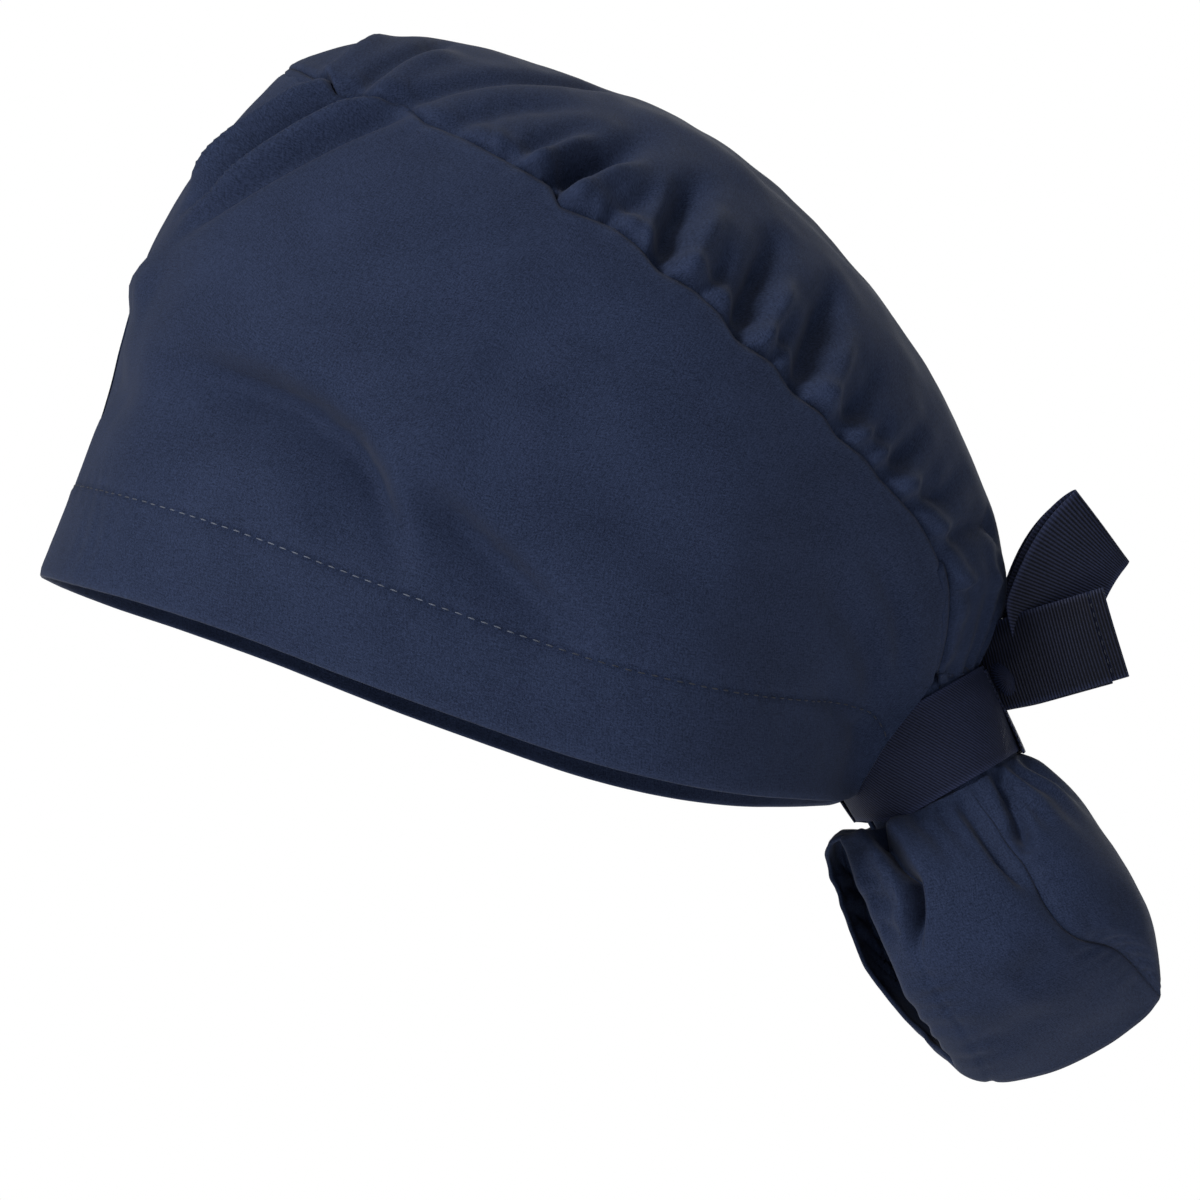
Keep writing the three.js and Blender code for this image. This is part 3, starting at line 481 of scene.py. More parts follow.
def seamPush(u, side):
    at, push = np.array(seamPushes).T
    fine = np.linspace(0, 1, 401)
    soft = np.convolve(np.pad(np.interp(fine, at, push), 3, "edge"), pushLook["smooth"], "valid")
    u = np.clip(u, 0, 1)
    there = np.clip(u + np.where(side > 0, farSide["pushShift"], 0), 0, 1)
    amount = np.interp(there, fine, soft) * np.where(side > 0, farSide["pushShare"], 1)
    ends = sideSurface(u, np.repeat(np.array([[0.96, 1.0]]), len(u), 0))[0]
    return bothSides(unit(ends[:, 1] - ends[:, 0]) * (amount * (1 - closing(u)[:, 0]))[:, None], side)


# rows past an edge, each so far in and so far on
def tucked(edge, facing, onwards, turns):
    return [edge - facing * d + onwards * w for d, w in turns]


# a sheet's columns with a seam's tuck before the first and after the last
def betweenTucks(outer, facing, turns):
    first = tucked(outer[:, 0], facing[:, 0], unit(outer[:, 0] - outer[:, 1]), turns[::-1])
    last = tucked(outer[:, -1], facing[:, -1], unit(outer[:, -1] - outer[:, -2]), turns)
    return np.stack(first + [outer[:, k] for k in range(outer.shape[1])] + last, axis=1)


# the cloth's own lengths: along one line of it, and across
def clothUv(points, alongLine):
    return np.stack([np.repeat(alongLine[:, None], points.shape[1], 1), lengthsAlong(points, 1)], -1)


# a lighter worn ridge beside a seam, and painted shade in the seam's groove
def seamWearAndShade(toSeam, strength, at, width):
    return strength * near(toSeam - at, width) - 2.4 * near(toSeam, 0.6)


# half and rows count the mesh's points, and measured is the column that gives the cloth's length
panelLook = dict(half=226, measured=30, hemColumns=16, bodyColumns=57, crowding=1.55, endLength=46.0, seamStop=0.15,
                 calmRun=9, bigWave=0.55, midWave=0.3, smallWave=0.07, hemProud=0.42, stitchDip=0.34)


def buildSidePanel():
    look = panelLook
    t = np.linspace(1, -1, 2 * look["half"] + 1)
    u, side = np.abs(t), np.where(t < 0, -1, 1)
    lengths = evenly(ribCurve(u), np.zeros((len(u), 2)))[1]
    lengths = mix(lengths, look["endLength"], closing(u)[:, 0])[:, None]
    hemShare = capShape["hemDepth"] / lengths
    hemRun = np.linspace(0, 1, look["hemColumns"] + 1)[None, :]
    bodyRun = 1 - (1 - np.linspace(0, 1, look["bodyColumns"] + 1)[1:]) ** look["crowding"]
    share = np.concatenate([hemShare * hemRun, hemShare + (1 - hemShare) * bodyRun[None, :]], axis=1)
    share = share * (1 - look["seamStop"] / lengths)
    base = bothSides(sideSurface(u, share)[0], np.repeat(side[:, None], share.shape[1], 1))
    up, toSeam = share * lengths, (1 - share) * lengths
    base = base + seamPush(u, side)[:, None] * near(toSeam, pushLook["reach"])[..., None]
    normal = normalsOf(base, capHeart)
    run = lengthsAlong(base, 0)
    calm = ease(toSeam / look["calmRun"])
    depth = foldsAlong(base, sideLine, sideFolds, farSide["panelShift"])
    depth *= mix(0.35, 1, ease(up / 30)) * mix(0.55, 1, calm) * capShape["sideFold"]
    depth += look["bigWave"] * waves(base, 38, 1) * ease(up / 20) * calm
    depth += look["midWave"] * waves(base, 15, 2) * ease(up / 14) * calm
    depth += look["smallWave"] * waves(base, 5.5, 3, (1, 1, 1.4))
    # hem: the double cloth stands proud, and the stitching pulls it in
    hemEdge = up - capShape["hemDepth"] + capShape["stitchIn"]
    depth -= look["hemProud"] * ease((0.9 - hemEdge) / 1.1) * ease(up / 2)
    depth += look["stitchDip"] * near(hemEdge, 0.75)
    depth += puckers(run, np.abs(hemEdge), seed=7, pitch=5.2, depth=0.16, reach=3.2)
    depth += puckers(run, np.abs(hemEdge + 12), seed=9, pitch=17, depth=0.14, reach=12)
    # long seam: the edge dips into it
    depth += capShape["seamDip"] * near(toSeam, capShape["seamDipWidth"])
    depth += puckers(run, toSeam, seed=11, pitch=8.5, depth=0.22, reach=5) * ease(toSeam / 1.5)
    outer = base - normal * depth[..., None]
    facing = normalsOf(outer, capHeart)
    # turned-in hem inside, and the seam's tuck
    rimUp = unit(outer[:, 1] - outer[:, 0])
    turn = turnedIn(outer[:, 0], facing[:, 0], -rimUp, capShape["hemGap"], 6)
    inner = [outer[:, k] - facing[:, k] * (capShape["hemGap"] + 0.12 * np.sin(run[:, :1] / 4.1))
             for k in range(1, look["hemColumns"], 2)]
    tuck = tucked(outer[:, -1], facing[:, -1], unit(outer[:, -1] - outer[:, -2]), seamTurns)
    points = np.stack(inner[::-1] + turn[::-1] + [outer[:, k] for k in range(outer.shape[1])] + tuck, axis=1)
    uv = clothUv(points, lengthsAlong(outer, 0)[:, look["measured"]])
    # lighter wear on the rim's fold and on the ridge beside the stitching, painted shade along the stitch groove, and
    # the seam's wear and painted shade
    rubbedAndShaded = near(hemEdge - 1.4, 0.9) * 0.4 - near(hemEdge, 0.4) * 1.3 + near(up, 1.2)
    rubbedAndShaded = rubbedAndShaded + seamWearAndShade(toSeam, 0.7, 2.4, 1.4)
    wearAndShading = np.concatenate([np.zeros((len(u), len(inner))), np.ones((len(u), len(turn))), rubbedAndShaded,
                           np.zeros((len(u), len(tuck)))], axis=1)
    panel = sheetMesh("sidePanelCloth", points, uv, wearAndShading, capHeart, capShape["cloth"])
    # the line that the hem's stitches follow, between two of the hem's columns
    last = look["hemColumns"]
    wanted = (capShape["hemDepth"] - capShape["stitchIn"]) / lengths[:, 0]
    place = np.clip(wanted / share[:, last] * last, 0, last)
    low = np.floor(place).astype(int).clip(0, last - 1)
    part = (place - low)[:, None]
    rows = np.arange(len(u))
    line = mix(outer[rows, low], outer[rows, low + 1], part)
    return panel, line, unit(mix(facing[rows, low], facing[rows, low + 1], part))


crownLook = dict(half=66, rows=226, underRows=10, crowding=1.35, rowCrowding=1.25, seamStop=0.15, gatherFrom=0.3,
                 gatherRun=0.18, bulge=1.9, bulgeAt=4.5, bulgeWidth=3.6, neckGathers=23, neckGather=0.55)


def buildCrown():
    look = crownLook
    s = np.linspace(-1, 1, 2 * look["half"] + 1)
    share = (1 - np.abs(s)) ** look["crowding"]
    side = np.where(s < 0, 1, -1)
    run01 = np.linspace(0, 1, look["rows"])
    u = np.concatenate([0.004 + 0.996 * (1 - (1 - run01) ** look["rowCrowding"]),
                        1 + capShape["sleeveShare"] * np.linspace(0.1, 1, look["underRows"])])
    shares = np.repeat(share[None, :], len(u), 0)
    lengths = crownSurface(u, shares)[1][:, None]
    shares = np.maximum(shares, look["seamStop"] / np.maximum(lengths, 1))
    surface, lengths = crownSurface(u, shares)
    lengths = lengths[:, None]
    base = bothSides(surface, np.repeat(side[None, :], len(u), 0))
    toSeam = shares * lengths
    for sign in (-1, 1):
        push = seamPush(u, np.full(len(u), sign))[:, None] * near(toSeam, pushLook["reach"])[..., None]
        base = base + push * (side == sign)[None, :, None] * ease(lengths / 30)[..., None]
    normal = normalsOf(base, capHeart)
    run = lengthsAlong(bothSides(crownSurface(u, np.full((len(u), 2), 0.01))[0], -np.ones((len(u), 2))), 0)[:, :1]
    run = run + np.where(side > 0, farSide["run"], 0.0)[None, :]
    u = u[:, None]
    opened = (1 - closing(np.minimum(u[:, 0], 1))) * ease(u / 0.06)
    narrow = ease(lengths / 45)
    depth = foldsAlong(base, crownLine, crownFolds, farSide["crownShift"]) * narrow * capShape["crownFold"]
    # gathers behind the front of the top, smoother cloth before it
    gathered = ease((u - look["gatherFrom"]) / look["gatherRun"])
    depth += (puckers(run, toSeam, seed=21, pitch=9.5, depth=0.95, reach=15)
              + puckers(run + 3 * waves(base, 12, 5), toSeam, seed=23, pitch=4.6, depth=0.42, reach=7)) * gathered
    depth += puckers(run, toSeam, seed=29, pitch=11, depth=0.3, reach=8) * (1 - gathered)
    depth -= look["bulge"] * near(toSeam - look["bulgeAt"], look["bulgeWidth"]) * mix(0.35, 1, gathered) * narrow
    depth += 0.6 * waves(base, 30, 6) * narrow + 0.42 * waves(base, 11, 7) * narrow + 0.08 * waves(base, 5, 8)
    depth = depth * ease(toSeam / 1.3)
    depth += capShape["seamDip"] * 1.5 * near(toSeam, capShape["seamDipWidth"])
    depth = depth * opened
    # the crown's gathers run on into the drawn neck
    angle = mix(seamAngle, 180, shares)
    neckGathers = np.sin(np.radians(angle) * look["neckGathers"] + 2 * waves(base, 20, 9))
    depth += look["neckGather"] * neckGathers * ease((u - 0.93) / 0.05) * ease((1.04 - u) / 0.03)
    outer = base - normal * depth[..., None]
    facing = normalsOf(outer, capHeart)
    points = betweenTucks(outer, facing, seamTurns)
    uv = clothUv(points, lengthsAlong(outer, 0)[:, look["half"]])
    # a worn ridge beside the seam, and painted shade in its groove
    wearAndShading = np.pad(seamWearAndShade(toSeam, 0.5, 2.2, 1.5), ((0, 0), (len(seamTurns),) * 2))
    return sheetMesh("crownCloth", points, uv, wearAndShading, capHeart, capShape["cloth"])


print("panels ready")

pouchFolds = [
    crease([(0.25, 0.02), (0.285, 0.1), (0.308, 0.26), (0.24, 0.4), (0.13, 0.57)], 1.7, 8, above=0.7, below=1.5,
           fade=(0.04, 0.25), sides=(-1,)),
    crease([(0.16, 0.02), (0.2, 0.12), (0.22, 0.28), (0.17, 0.42), (0.09, 0.58)], 3.0, -2.8,
           fade=(0.1, 0.3), sides=(-1,)),
    crease([(0.3, 0.03), (0.24, 0.2), (0.2, 0.4), (0.12, 0.6)], 3.4, 3.0, (0.1, 0.5), sides=(1,)),
    crease([(0.13, 0.02), (0.17, 0.2), (0.18, 0.36), (0.11, 0.6)], 3.4, -2.4, (0.1, 0.3), sides=(1,)),
    crease([(0.4, 0.02), (0.42, 0.15), (0.4, 0.35)], 4.5, -1.6, (0.1, 0.6)),
    crease([(0.55, 0.02), (0.58, 0.12), (0.6, 0.3)], 2.6, 1.6, (0.1, 0.7)),
    crease([(0.72, 0.02), (0.74, 0.1), (0.78, 0.24)], 2.4, 1.8, (0.1, 0.7)),
    crease([(0.88, 0.02), (0.9, 0.12), (0.92, 0.3), (0.95, 0.46)], 2.6, 3.4, (0.1, 0.35)),
    crease([(0.8, 0.02), (0.82, 0.14), (0.84, 0.3)], 3.2, -1.5, (0.1, 0.5)),
    crease([(0.02, 0.3), (0.12, 0.33), (0.2, 0.3)], 2.2, 1.2, (0.1, 0.6)),
    crease([(0.02, 0.42), (0.1, 0.44), (0.18, 0.42)], 2.0, 1.0, (0.1, 0.6)),
    crease([(0.02, 0.2), (0.1, 0.22), (0.16, 0.18)], 2.0, 1.0, (0.1, 0.6)),
    crease([(0.5, 0.75), (0.75, 0.7), (0.95, 0.62)], 6, 1.3),
    crease([(0.2, 0.9), (0.45, 0.86), (0.7, 0.88)], 6, 0.9),
]
backFolds = [
    crease([(0.33, 0.005), (0.2, 0.08), (0.1, 0.165), (0.045, 0.28)], 2.0, 5.0, (0.03, 0.45)),
    crease([(0.34, 0.01), (0.3, 0.08), (0.24, 0.22)], 2.6, 2.0, (0.05, 0.6)),
    crease([(0.27, 0.02), (0.23, 0.1), (0.17, 0.24)], 2.4, -1.3, (0.05, 0.6)),
    crease([(0.55, 0.01), (0.53, 0.1), (0.5, 0.3)], 3.4, 2.0, (0.05, 0.6)),
    crease([(0.78, 0.01), (0.77, 0.1), (0.75, 0.28)], 3.4, 1.8, (0.05, 0.6)),
    crease([(0.04, 0.66), (0.3, 0.62), (0.6, 0.66)], 6, 1.4),
]


def lineOn(surface):
    def line(share, v, side):
        v = v[:, None].repeat(2, 1)
        return bothSides(surface(share[:, None].repeat(2, 1), v), np.full(v.shape, side), v)[:, 0]
    return line


pouchLine, backLine = lineOn(pouchSideSurface), lineOn(pouchBackSurface)
frontLook = dict(half=104, measured=52, columns=112, crowding=1.1, seed=31, gathers=19, gatherDepth=0.75, wideWave=0.9,
                 narrowWave=0.45, hemProud=0.35, stitchDip=0.4, seamTurns=((1.3, 0.0), (0.9, 0.12), (0.45, 0.12)))
gatherLook = dict(fade=0.12, belowRun=0.06, seamCalm=6)


# gathers that fade away from the ribbon, and the cloth's own waves, of which calm is the share that stays
def pouchWaves(base, down, toSeam, angle, look, calm):
    seed = look["seed"]
    gathers = np.sin(np.radians(angle) * look["gathers"] + 2.5 * waves(base, 14, seed))
    fading = np.exp(-np.maximum(down, 0) / gatherLook["fade"]) * ease(down / gatherLook["belowRun"])
    broad = look["wideWave"] * waves(base, 24, seed + 1) + look["narrowWave"] * waves(base, 11, seed + 2)
    return (look["gatherDepth"] * gathers * fading + broad * calm
            + 0.05 * waves(base, 5, seed + 3)) * ease(toSeam / gatherLook["seamCalm"])


def buildPouchFront():
    look = frontLook
    t = np.linspace(-1, 1, 2 * look["half"] + 1)
    down = (1 - np.abs(t) * (1 + capShape["sleeveShare"]))[:, None].repeat(look["columns"], 1)
    side = np.where(t < 0, -1, 1)[:, None].repeat(look["columns"], 1)
    share = np.repeat((1 - np.linspace(0, 1, look["columns"]) ** look["crowding"])[None, :], len(t), 0)
    base = bothSides(pouchSideSurface(share, down), side, down)
    normal = normalsOf(base, pouchHeart)
    toSeam = lengthsAlong(base, 1)
    toEdge = toSeam[:, -1:] - toSeam
    run = lengthsAlong(base, 0)
    below = ease(down / gatherLook["belowRun"])
    depth = foldsAlong(base, pouchLine, pouchFolds, heart=pouchHeart) * below * ease(toEdge / 3) * ease(toSeam / 2)
    angle = mix(pouchShape["edgeAngle"], pouchShape["seamAngle"], share)
    depth += pouchWaves(base, down, toSeam, angle, look, below * mix(0.5, 1, ease(toEdge / 12)))
    # the open edge's hem, drawn in by its stitching
    hemEdge = toEdge - pouchShape["hemDepth"]
    depth -= look["hemProud"] * ease((0.8 - hemEdge) / 1.0) * below
    depth += look["stitchDip"] * near(hemEdge, 0.8) * below
    depth += (puckers(run, np.abs(hemEdge), seed=41, pitch=6.8, depth=0.3, reach=4.5)
              + puckers(run, toEdge, seed=42, pitch=11, depth=0.24, reach=6)) * below
    depth += pouchShape["seamDip"] * near(toSeam, 1.3) * below
    depth += puckers(run, toSeam, seed=43, pitch=6.5, depth=0.4, reach=5) * ease(toSeam / 3) * below
    outer = base - normal * depth[..., None]
    facing = normalsOf(outer, pouchHeart)
    outEdge = unit(outer[:, -1] - outer[:, -2])
    turn = turnedIn(outer[:, -1], facing[:, -1], outEdge, pouchShape["hemGap"], 5)
    hemFrom = [k for k in range(outer.shape[1] - 2, 0, -2) if np.median(toEdge[:, k]) < pouchShape["hemDepth"]]
    inner = [outer[:, k] - facing[:, k] * pouchShape["hemGap"] for k in hemFrom]
    tuck = tucked(outer[:, 0], facing[:, 0], unit(outer[:, 0] - outer[:, 1]), look["seamTurns"])
    points = np.stack(tuck + [outer[:, k] for k in range(outer.shape[1])] + turn + inner, axis=1)
    uv = clothUv(points, lengthsAlong(outer, 0)[:, look["measured"]])
    wearAndShading = np.pad(0.6 * near(toSeam - 2, 1.3) + near(toEdge, 1.2) + 0.4 * near(hemEdge, 1.2),
                  ((0, 0), (len(tuck), len(turn) + len(inner))))
    return sheetMesh("pouchFrontCloth", points, uv, wearAndShading, pouchHeart, capShape["cloth"])


# the back panel's rows lie at the front panel's, and its seam allowance runs on beneath that panel
backLook = dict(half=52, rows=105, crowding=1.2, seed=51, gathers=17, gatherDepth=0.8, wideWave=0.8, narrowWave=0.4,
                farRun=30.0,
                seamTurns=((0.5, 0.15), (1.2, 0.25), (1.9, 0.8), (2.15, 2.4), (2.4, 4.2)))


def buildPouchBack():
    look = backLook
    s = np.linspace(-1, 1, 2 * look["half"] + 1)
    side = np.repeat(np.where(s < 0, -1, 1)[None, :], look["rows"], 0)
    share = np.repeat(((1 - np.abs(s)) ** look["crowding"])[None, :], look["rows"], 0)
    down = np.minimum(np.linspace(-capShape["sleeveShare"], 1, look["rows"]), 0.999)[:, None].repeat(len(s), 1)
    base = bothSides(pouchBackSurface(share, down), side, down)
    normal = normalsOf(base, pouchHeart)
    widths = lengthsAlong(base, 1)
    toSeam = np.minimum(widths, widths[:, -1:] - widths)
    run = lengthsAlong(base, 0)[:, :1].repeat(len(s), 1) + np.where(side > 0, look["farRun"], 0)
    below = ease(down / gatherLook["belowRun"])
    narrow = ease(widths[:, -1:] / 30)
    depth = foldsAlong(base, backLine, backFolds, heart=pouchHeart) * below * ease(toSeam / 2) * narrow
    angle = mix(pouchShape["seamAngle"], 180, share) * side
    depth += pouchWaves(base, down, toSeam, angle, look, below * narrow)
    depth += pouchShape["seamDip"] * near(toSeam, 1.3) * below
    depth += puckers(run, toSeam, seed=55, pitch=7, depth=0.45, reach=6) * ease(toSeam / 3) * below * narrow
    outer = base - normal * depth[..., None]
    facing = normalsOf(outer, pouchHeart)
    points = betweenTucks(outer, facing, look["seamTurns"])
    uv = clothUv(points, lengthsAlong(outer, 0)[:, look["half"]])
    wearAndShading = np.pad(0.6 * near(toSeam - 2, 1.3), ((0, 0), (len(look["seamTurns"]),) * 2))
    return sheetMesh("pouchBackCloth", points, uv, wearAndShading, pouchHeart, capShape["cloth"])


# a ribbon piece: stepAt gives the middle, the width's way, the facing and the share of full width at each step
def ribbonMesh(name, side, steps, stepAt, crown=0.35, hemTo=None, creases=0.0, skew=0.0, paintedLight=0.0, across=15):
    a = np.linspace(-1, 1, across)
    rows = []
    for k in range(steps + 1):
        t = k / steps
        middle, width, facing, scale = stepAt(t)
        lift = crown * (1 - a * a) + creases * (1 - scale) * np.cos(a * 9.5)
        lift = lift + 0.22 * np.sin(t * 11 + 2 * a + side)
        if hemTo is not None:
            lift = lift + 0.5 * ease((t - hemTo) / 0.02) - 0.3 * near(t - hemTo, 0.02)
        rows.append(middle + a[:, None] * width * ribbonHalf * scale + lift[:, None] * facing)
    points = bothSides(np.array(rows), np.full((steps + 1, across), side))
    uv = np.stack([np.repeat(lengthsAlong(points, 0)[:, across // 2:across // 2 + 1], across, 1),
                   np.repeat((a * ribbonHalf)[None, :], steps + 1, 0)], -1)
    uv[..., 0] += skew * uv[..., 1]
    # lighter worn edges, plus each piece's painted light and shade
    edge = paintedLight + np.repeat(near(1 - np.abs(a), 0.07)[None, :], steps + 1, 0)
    return sheetMesh(name, points, uv, edge, (0, 0, 0)), points


ribbonSteps = dict(tie=150, loop=190, tail=90)
# each piece's painted light and shade: the taut ties are painted lighter, and the loops and tails darker, as in the
# cap's shadow
ribbonLooks = dict(tie=dict(skew=ribbonShape["pulled"], paintedLight=0.25), loop=dict(crown=0.2, creases=1.5, paintedLight=-0.3),
                   tail=dict(crown=0.5, creases=3.0, paintedLight=-0.7))
hemHold = dict(pitch=3.1, length=2.1, radius=0.17)
tailHold = dict(pitch=2.3, length=1.5, radius=0.14)


def thicken(obj, thick):
    addWall(obj, "ribbonThickness", thick, 0)
    rounded = obj.modifiers.new("ribbonEdge", "BEVEL")
    rounded.width = thick * 0.0003
    rounded.segments = 2
    rounded.limit_method = "ANGLE"
    rounded.angle_limit = math.radians(50)
    return obj


def tieStep(end, lift=0.0, slant=0.0):
    def at(t):
        angle = mix(tieShape["start"], end, t)
        dip = tieShape["dip"] * (1 - ease((angle - tieShape["start"]) / tieShape["dipRun"]))
        way = dip * ribbonHalf + slant * t
        a = math.radians(angle)
        facing = -neckOut * math.cos(a) + toLeft * math.sin(a)
        lifted = lift * float(ease((t - tieShape["liftFrom"]) * 3))
        radius = neckRadiusAt(angle, way) + ribbonShape["gap"] + ribbonShape["thick"] + lifted
        middle = neckMiddle + neckAlong * way + facing * radius
        return middle, unit(neckAlong - facing * taperAt(angle)), facing, 1.0
    return at


knotRadius = neckShape["radius"] + 2 * ribbonShape["gap"] + ribbonShape["wall"] + bowShape["knotThickness"] / 2
knotMiddle = neckMiddle + neckAlong * bowShape["knotPlace"] * ribbonHalf + neckOut * knotRadius


def loopStep(turnOut):
    rootWay = unit(np.array([0.4, -0.3, 0.85]))
    tipWay = unit(np.array([0.8, -0.2 - turnOut, 0.56]))
    root = (knotMiddle + toLeft * bowShape["loopOut"] / 3 + neckOut * (bowShape["knotThickness"] / 2 + 1.2)
            - neckAlong)
    tip = knotMiddle + np.array([bowShape["loopBack"], -bowShape["loopOut"] - 6 * turnOut, bowShape["loopUp"]])
    pull = np.linalg.norm(tip - root)
    depth = unit(np.cross(rootWay, tipWay))

    def middle(s):
        return hermite(root, rootWay * pull, tip, tipWay * pull, s)

    def layer(turn):
        s = (1 - math.cos(turn)) / 2
        opened = math.sin(turn) * math.sin(turn / 2) * bowShape["loopOpening"] * 0.65 + math.cos(turn / 2) * 1.1
        return middle(s) + depth * opened

    def at(t):
        turn = mix(bowShape["loopEnd"], 2 * math.pi - bowShape["loopEnd"], t)
        s = (1 - math.cos(turn)) / 2
        run = middle(min(1, s + 0.01)) - middle(max(0, s - 0.01))
        width = unit(np.cross(run, depth))
        facing = unit(np.cross(layer(turn + 0.01) - layer(turn - 0.01), width))
        return layer(turn), width, facing, mix(bowShape["loopRoot"], 1, float(ease(s * 2.6)))
    return at


def tailStep():
    way, acrossWay = unit(np.array(bowShape["tailWay"])), np.array(bowShape["tailAcross"])
    width = unit(acrossWay - way * (acrossWay @ way))
    root = (knotMiddle + toLeft * (bowShape["knotWidth"] / 2 - 1.5) + neckOut * 2 - neckAlong * 3
            - way * bowShape["tailRoot"])
    facing = unit(np.cross(width, way))

    def at(t):
        curl = 1.1 * math.sin(math.pi * t) - 0.8 * t * t
        middle = root + way * t * (bowShape["tailLength"] + bowShape["tailRoot"]) + facing * curl
        return middle, width, facing, mix(bowShape["tailNarrowed"], 1, float(ease(t * 2.2)))
    return at


# faces made to look outwards, after merging points closer than the given distance in metres
def setFacing(obj, merge=0.0):
    bpy.ops.object.select_all(action="DESELECT")
    bpy.context.view_layer.objects.active = obj
    obj.select_set(True)
    bpy.ops.object.mode_set(mode="EDIT")
    bpy.ops.mesh.select_all(action="SELECT")
    if merge:
        bpy.ops.mesh.remove_doubles(threshold=merge)
    bpy.ops.mesh.normals_make_consistent(inside=False)
    bpy.ops.object.mode_set(mode="OBJECT")
    obj.select_set(False)
    return obj


knotLook = dict(rings=33, around=72, endPower=3.2, endRound=0.42, bluntPower=2.6, pinch=0.1, pinchAt=0.42, waist=0.06,
                waistWidth=0.08, sway=1.2, swayShare=0.35)


def buildKnot():
    look = knotLook
    rings, around, blunting = look["rings"], look["around"], look["bluntPower"]
    a = np.linspace(-1, 1, rings)[:, None]
    theta = np.linspace(0, 2 * math.pi, around + 1)[None, :]
    fat = np.maximum(1 - np.abs(a) ** look["endPower"], 0) ** look["endRound"]
    waist = look["waist"] * near(a, look["waistWidth"]) * (1 + 0.6 * np.sin(theta))
    pinch = 1 - look["pinch"] * near(np.abs(a) - look["pinchAt"], 0.1) - waist
    c, s = np.cos(theta), np.sin(theta)
    blunt = (np.abs(c) ** blunting + np.abs(s) ** blunting) ** (-1 / blunting)
    radiusUp = fat * pinch * bowShape["knotHeight"] / 2 * blunt
    radiusOut = fat * pinch * bowShape["knotThickness"] / 2 * blunt
    sway = look["sway"] * np.sin(theta + 0.6) * (1 - a * a)
    points = (knotMiddle + neckAlong * (radiusUp * c)[..., None] + neckOut * (radiusOut * s)[..., None]
              + toLeft * (a * bowShape["knotWidth"] / 2 + look["swayShare"] * sway)[..., None])
    uv = np.stack([np.repeat(theta * 5.6, rings, 0), np.repeat(a * ribbonHalf * 0.6, around + 1, 1)], -1)
    return setFacing(sheetMesh("bowKnotRibbon", points, uv, inside=knotMiddle), merge=0.00002)


stitchLook = dict(steps=5, sides=6, lift=0.1, sunk=0.16, thinned=0.45, wobble=0.048)


# one short thread for each stitch, sunk into the cloth at both ends
def stitchRow(name, line, up, pitch, length, radius):
    look = stitchLook
    steps, sides = look["steps"], look["sides"]
    run = np.concatenate([[0], np.cumsum(np.linalg.norm(np.diff(line, axis=0), axis=1))])

    def along(values, at):
        return np.array([np.interp(at, run, values[:, i]) for i in range(3)])

    vertices, faces = [], []
    ring = np.linspace(0, 2 * math.pi, sides, endpoint=False)
    for n, middle in enumerate(np.arange(pitch / 2, run[-1] - pitch / 2, pitch)):
        base = len(vertices)
        for k in range(steps + 1):
            at = middle + (k / steps - 0.5) * length
            point, facing = along(line, at), unit(along(up, at))
            side = np.cross(unit(along(line, at + 0.2) - point), facing)
            arch = math.sin(math.pi * k / steps)
            rise = look["lift"] * arch - look["sunk"] * (1 - arch)
            thin = radius * mix(look["thinned"], 1, arch)
            sway = look["wobble"] * math.sin(n * 2.1)
            for r in ring:
                vertices.append(point + facing * (rise + thin * math.sin(r)) + side * (thin * math.cos(r) + sway))
        for k in range(steps):
            low, high = base + sides * k, base + sides * (k + 1)
            faces += [(low + r, low + (r + 1) % sides, high + (r + 1) % sides, high + r) for r in range(sides)]
        faces.append(tuple(base + r for r in range(sides - 1, -1, -1)))
        faces.append(tuple(base + sides * steps + r for r in range(sides)))
    mesh = bpy.data.meshes.new(name)
    mesh.from_pydata([tuple(p * 0.001) for p in vertices], [], faces)
    mesh.shade_smooth()
    return setFacing(placed(name, mesh))


print("pouch and bow ready")


# materials: a Wire is a node's socket that can be reckoned with, a Shader is one material
class Wire:
    def __init__(self, shader, socket):
        self.shader, self.socket = shader, socket

    def math(self, operation, first, second=None):
        values = [first] if second is None else [first, second]
        return self.shader.wire("ShaderNodeMath", dict(operation=operation), dict(enumerate(values)))

    def __add__(self, other):
        return self.math("ADD", self, other)

    def __sub__(self, other):
        return self.math("SUBTRACT", self, other)

    def __mul__(self, other):
        return self.math("MULTIPLY", self, other)

    def __rsub__(self, other):
        return self.math("SUBTRACT", other, self)

    __radd__, __rmul__ = __add__, __mul__

    def sine(self):
        return self.math("SINE", self)

    def size(self):
        return self.math("ABSOLUTE", self)


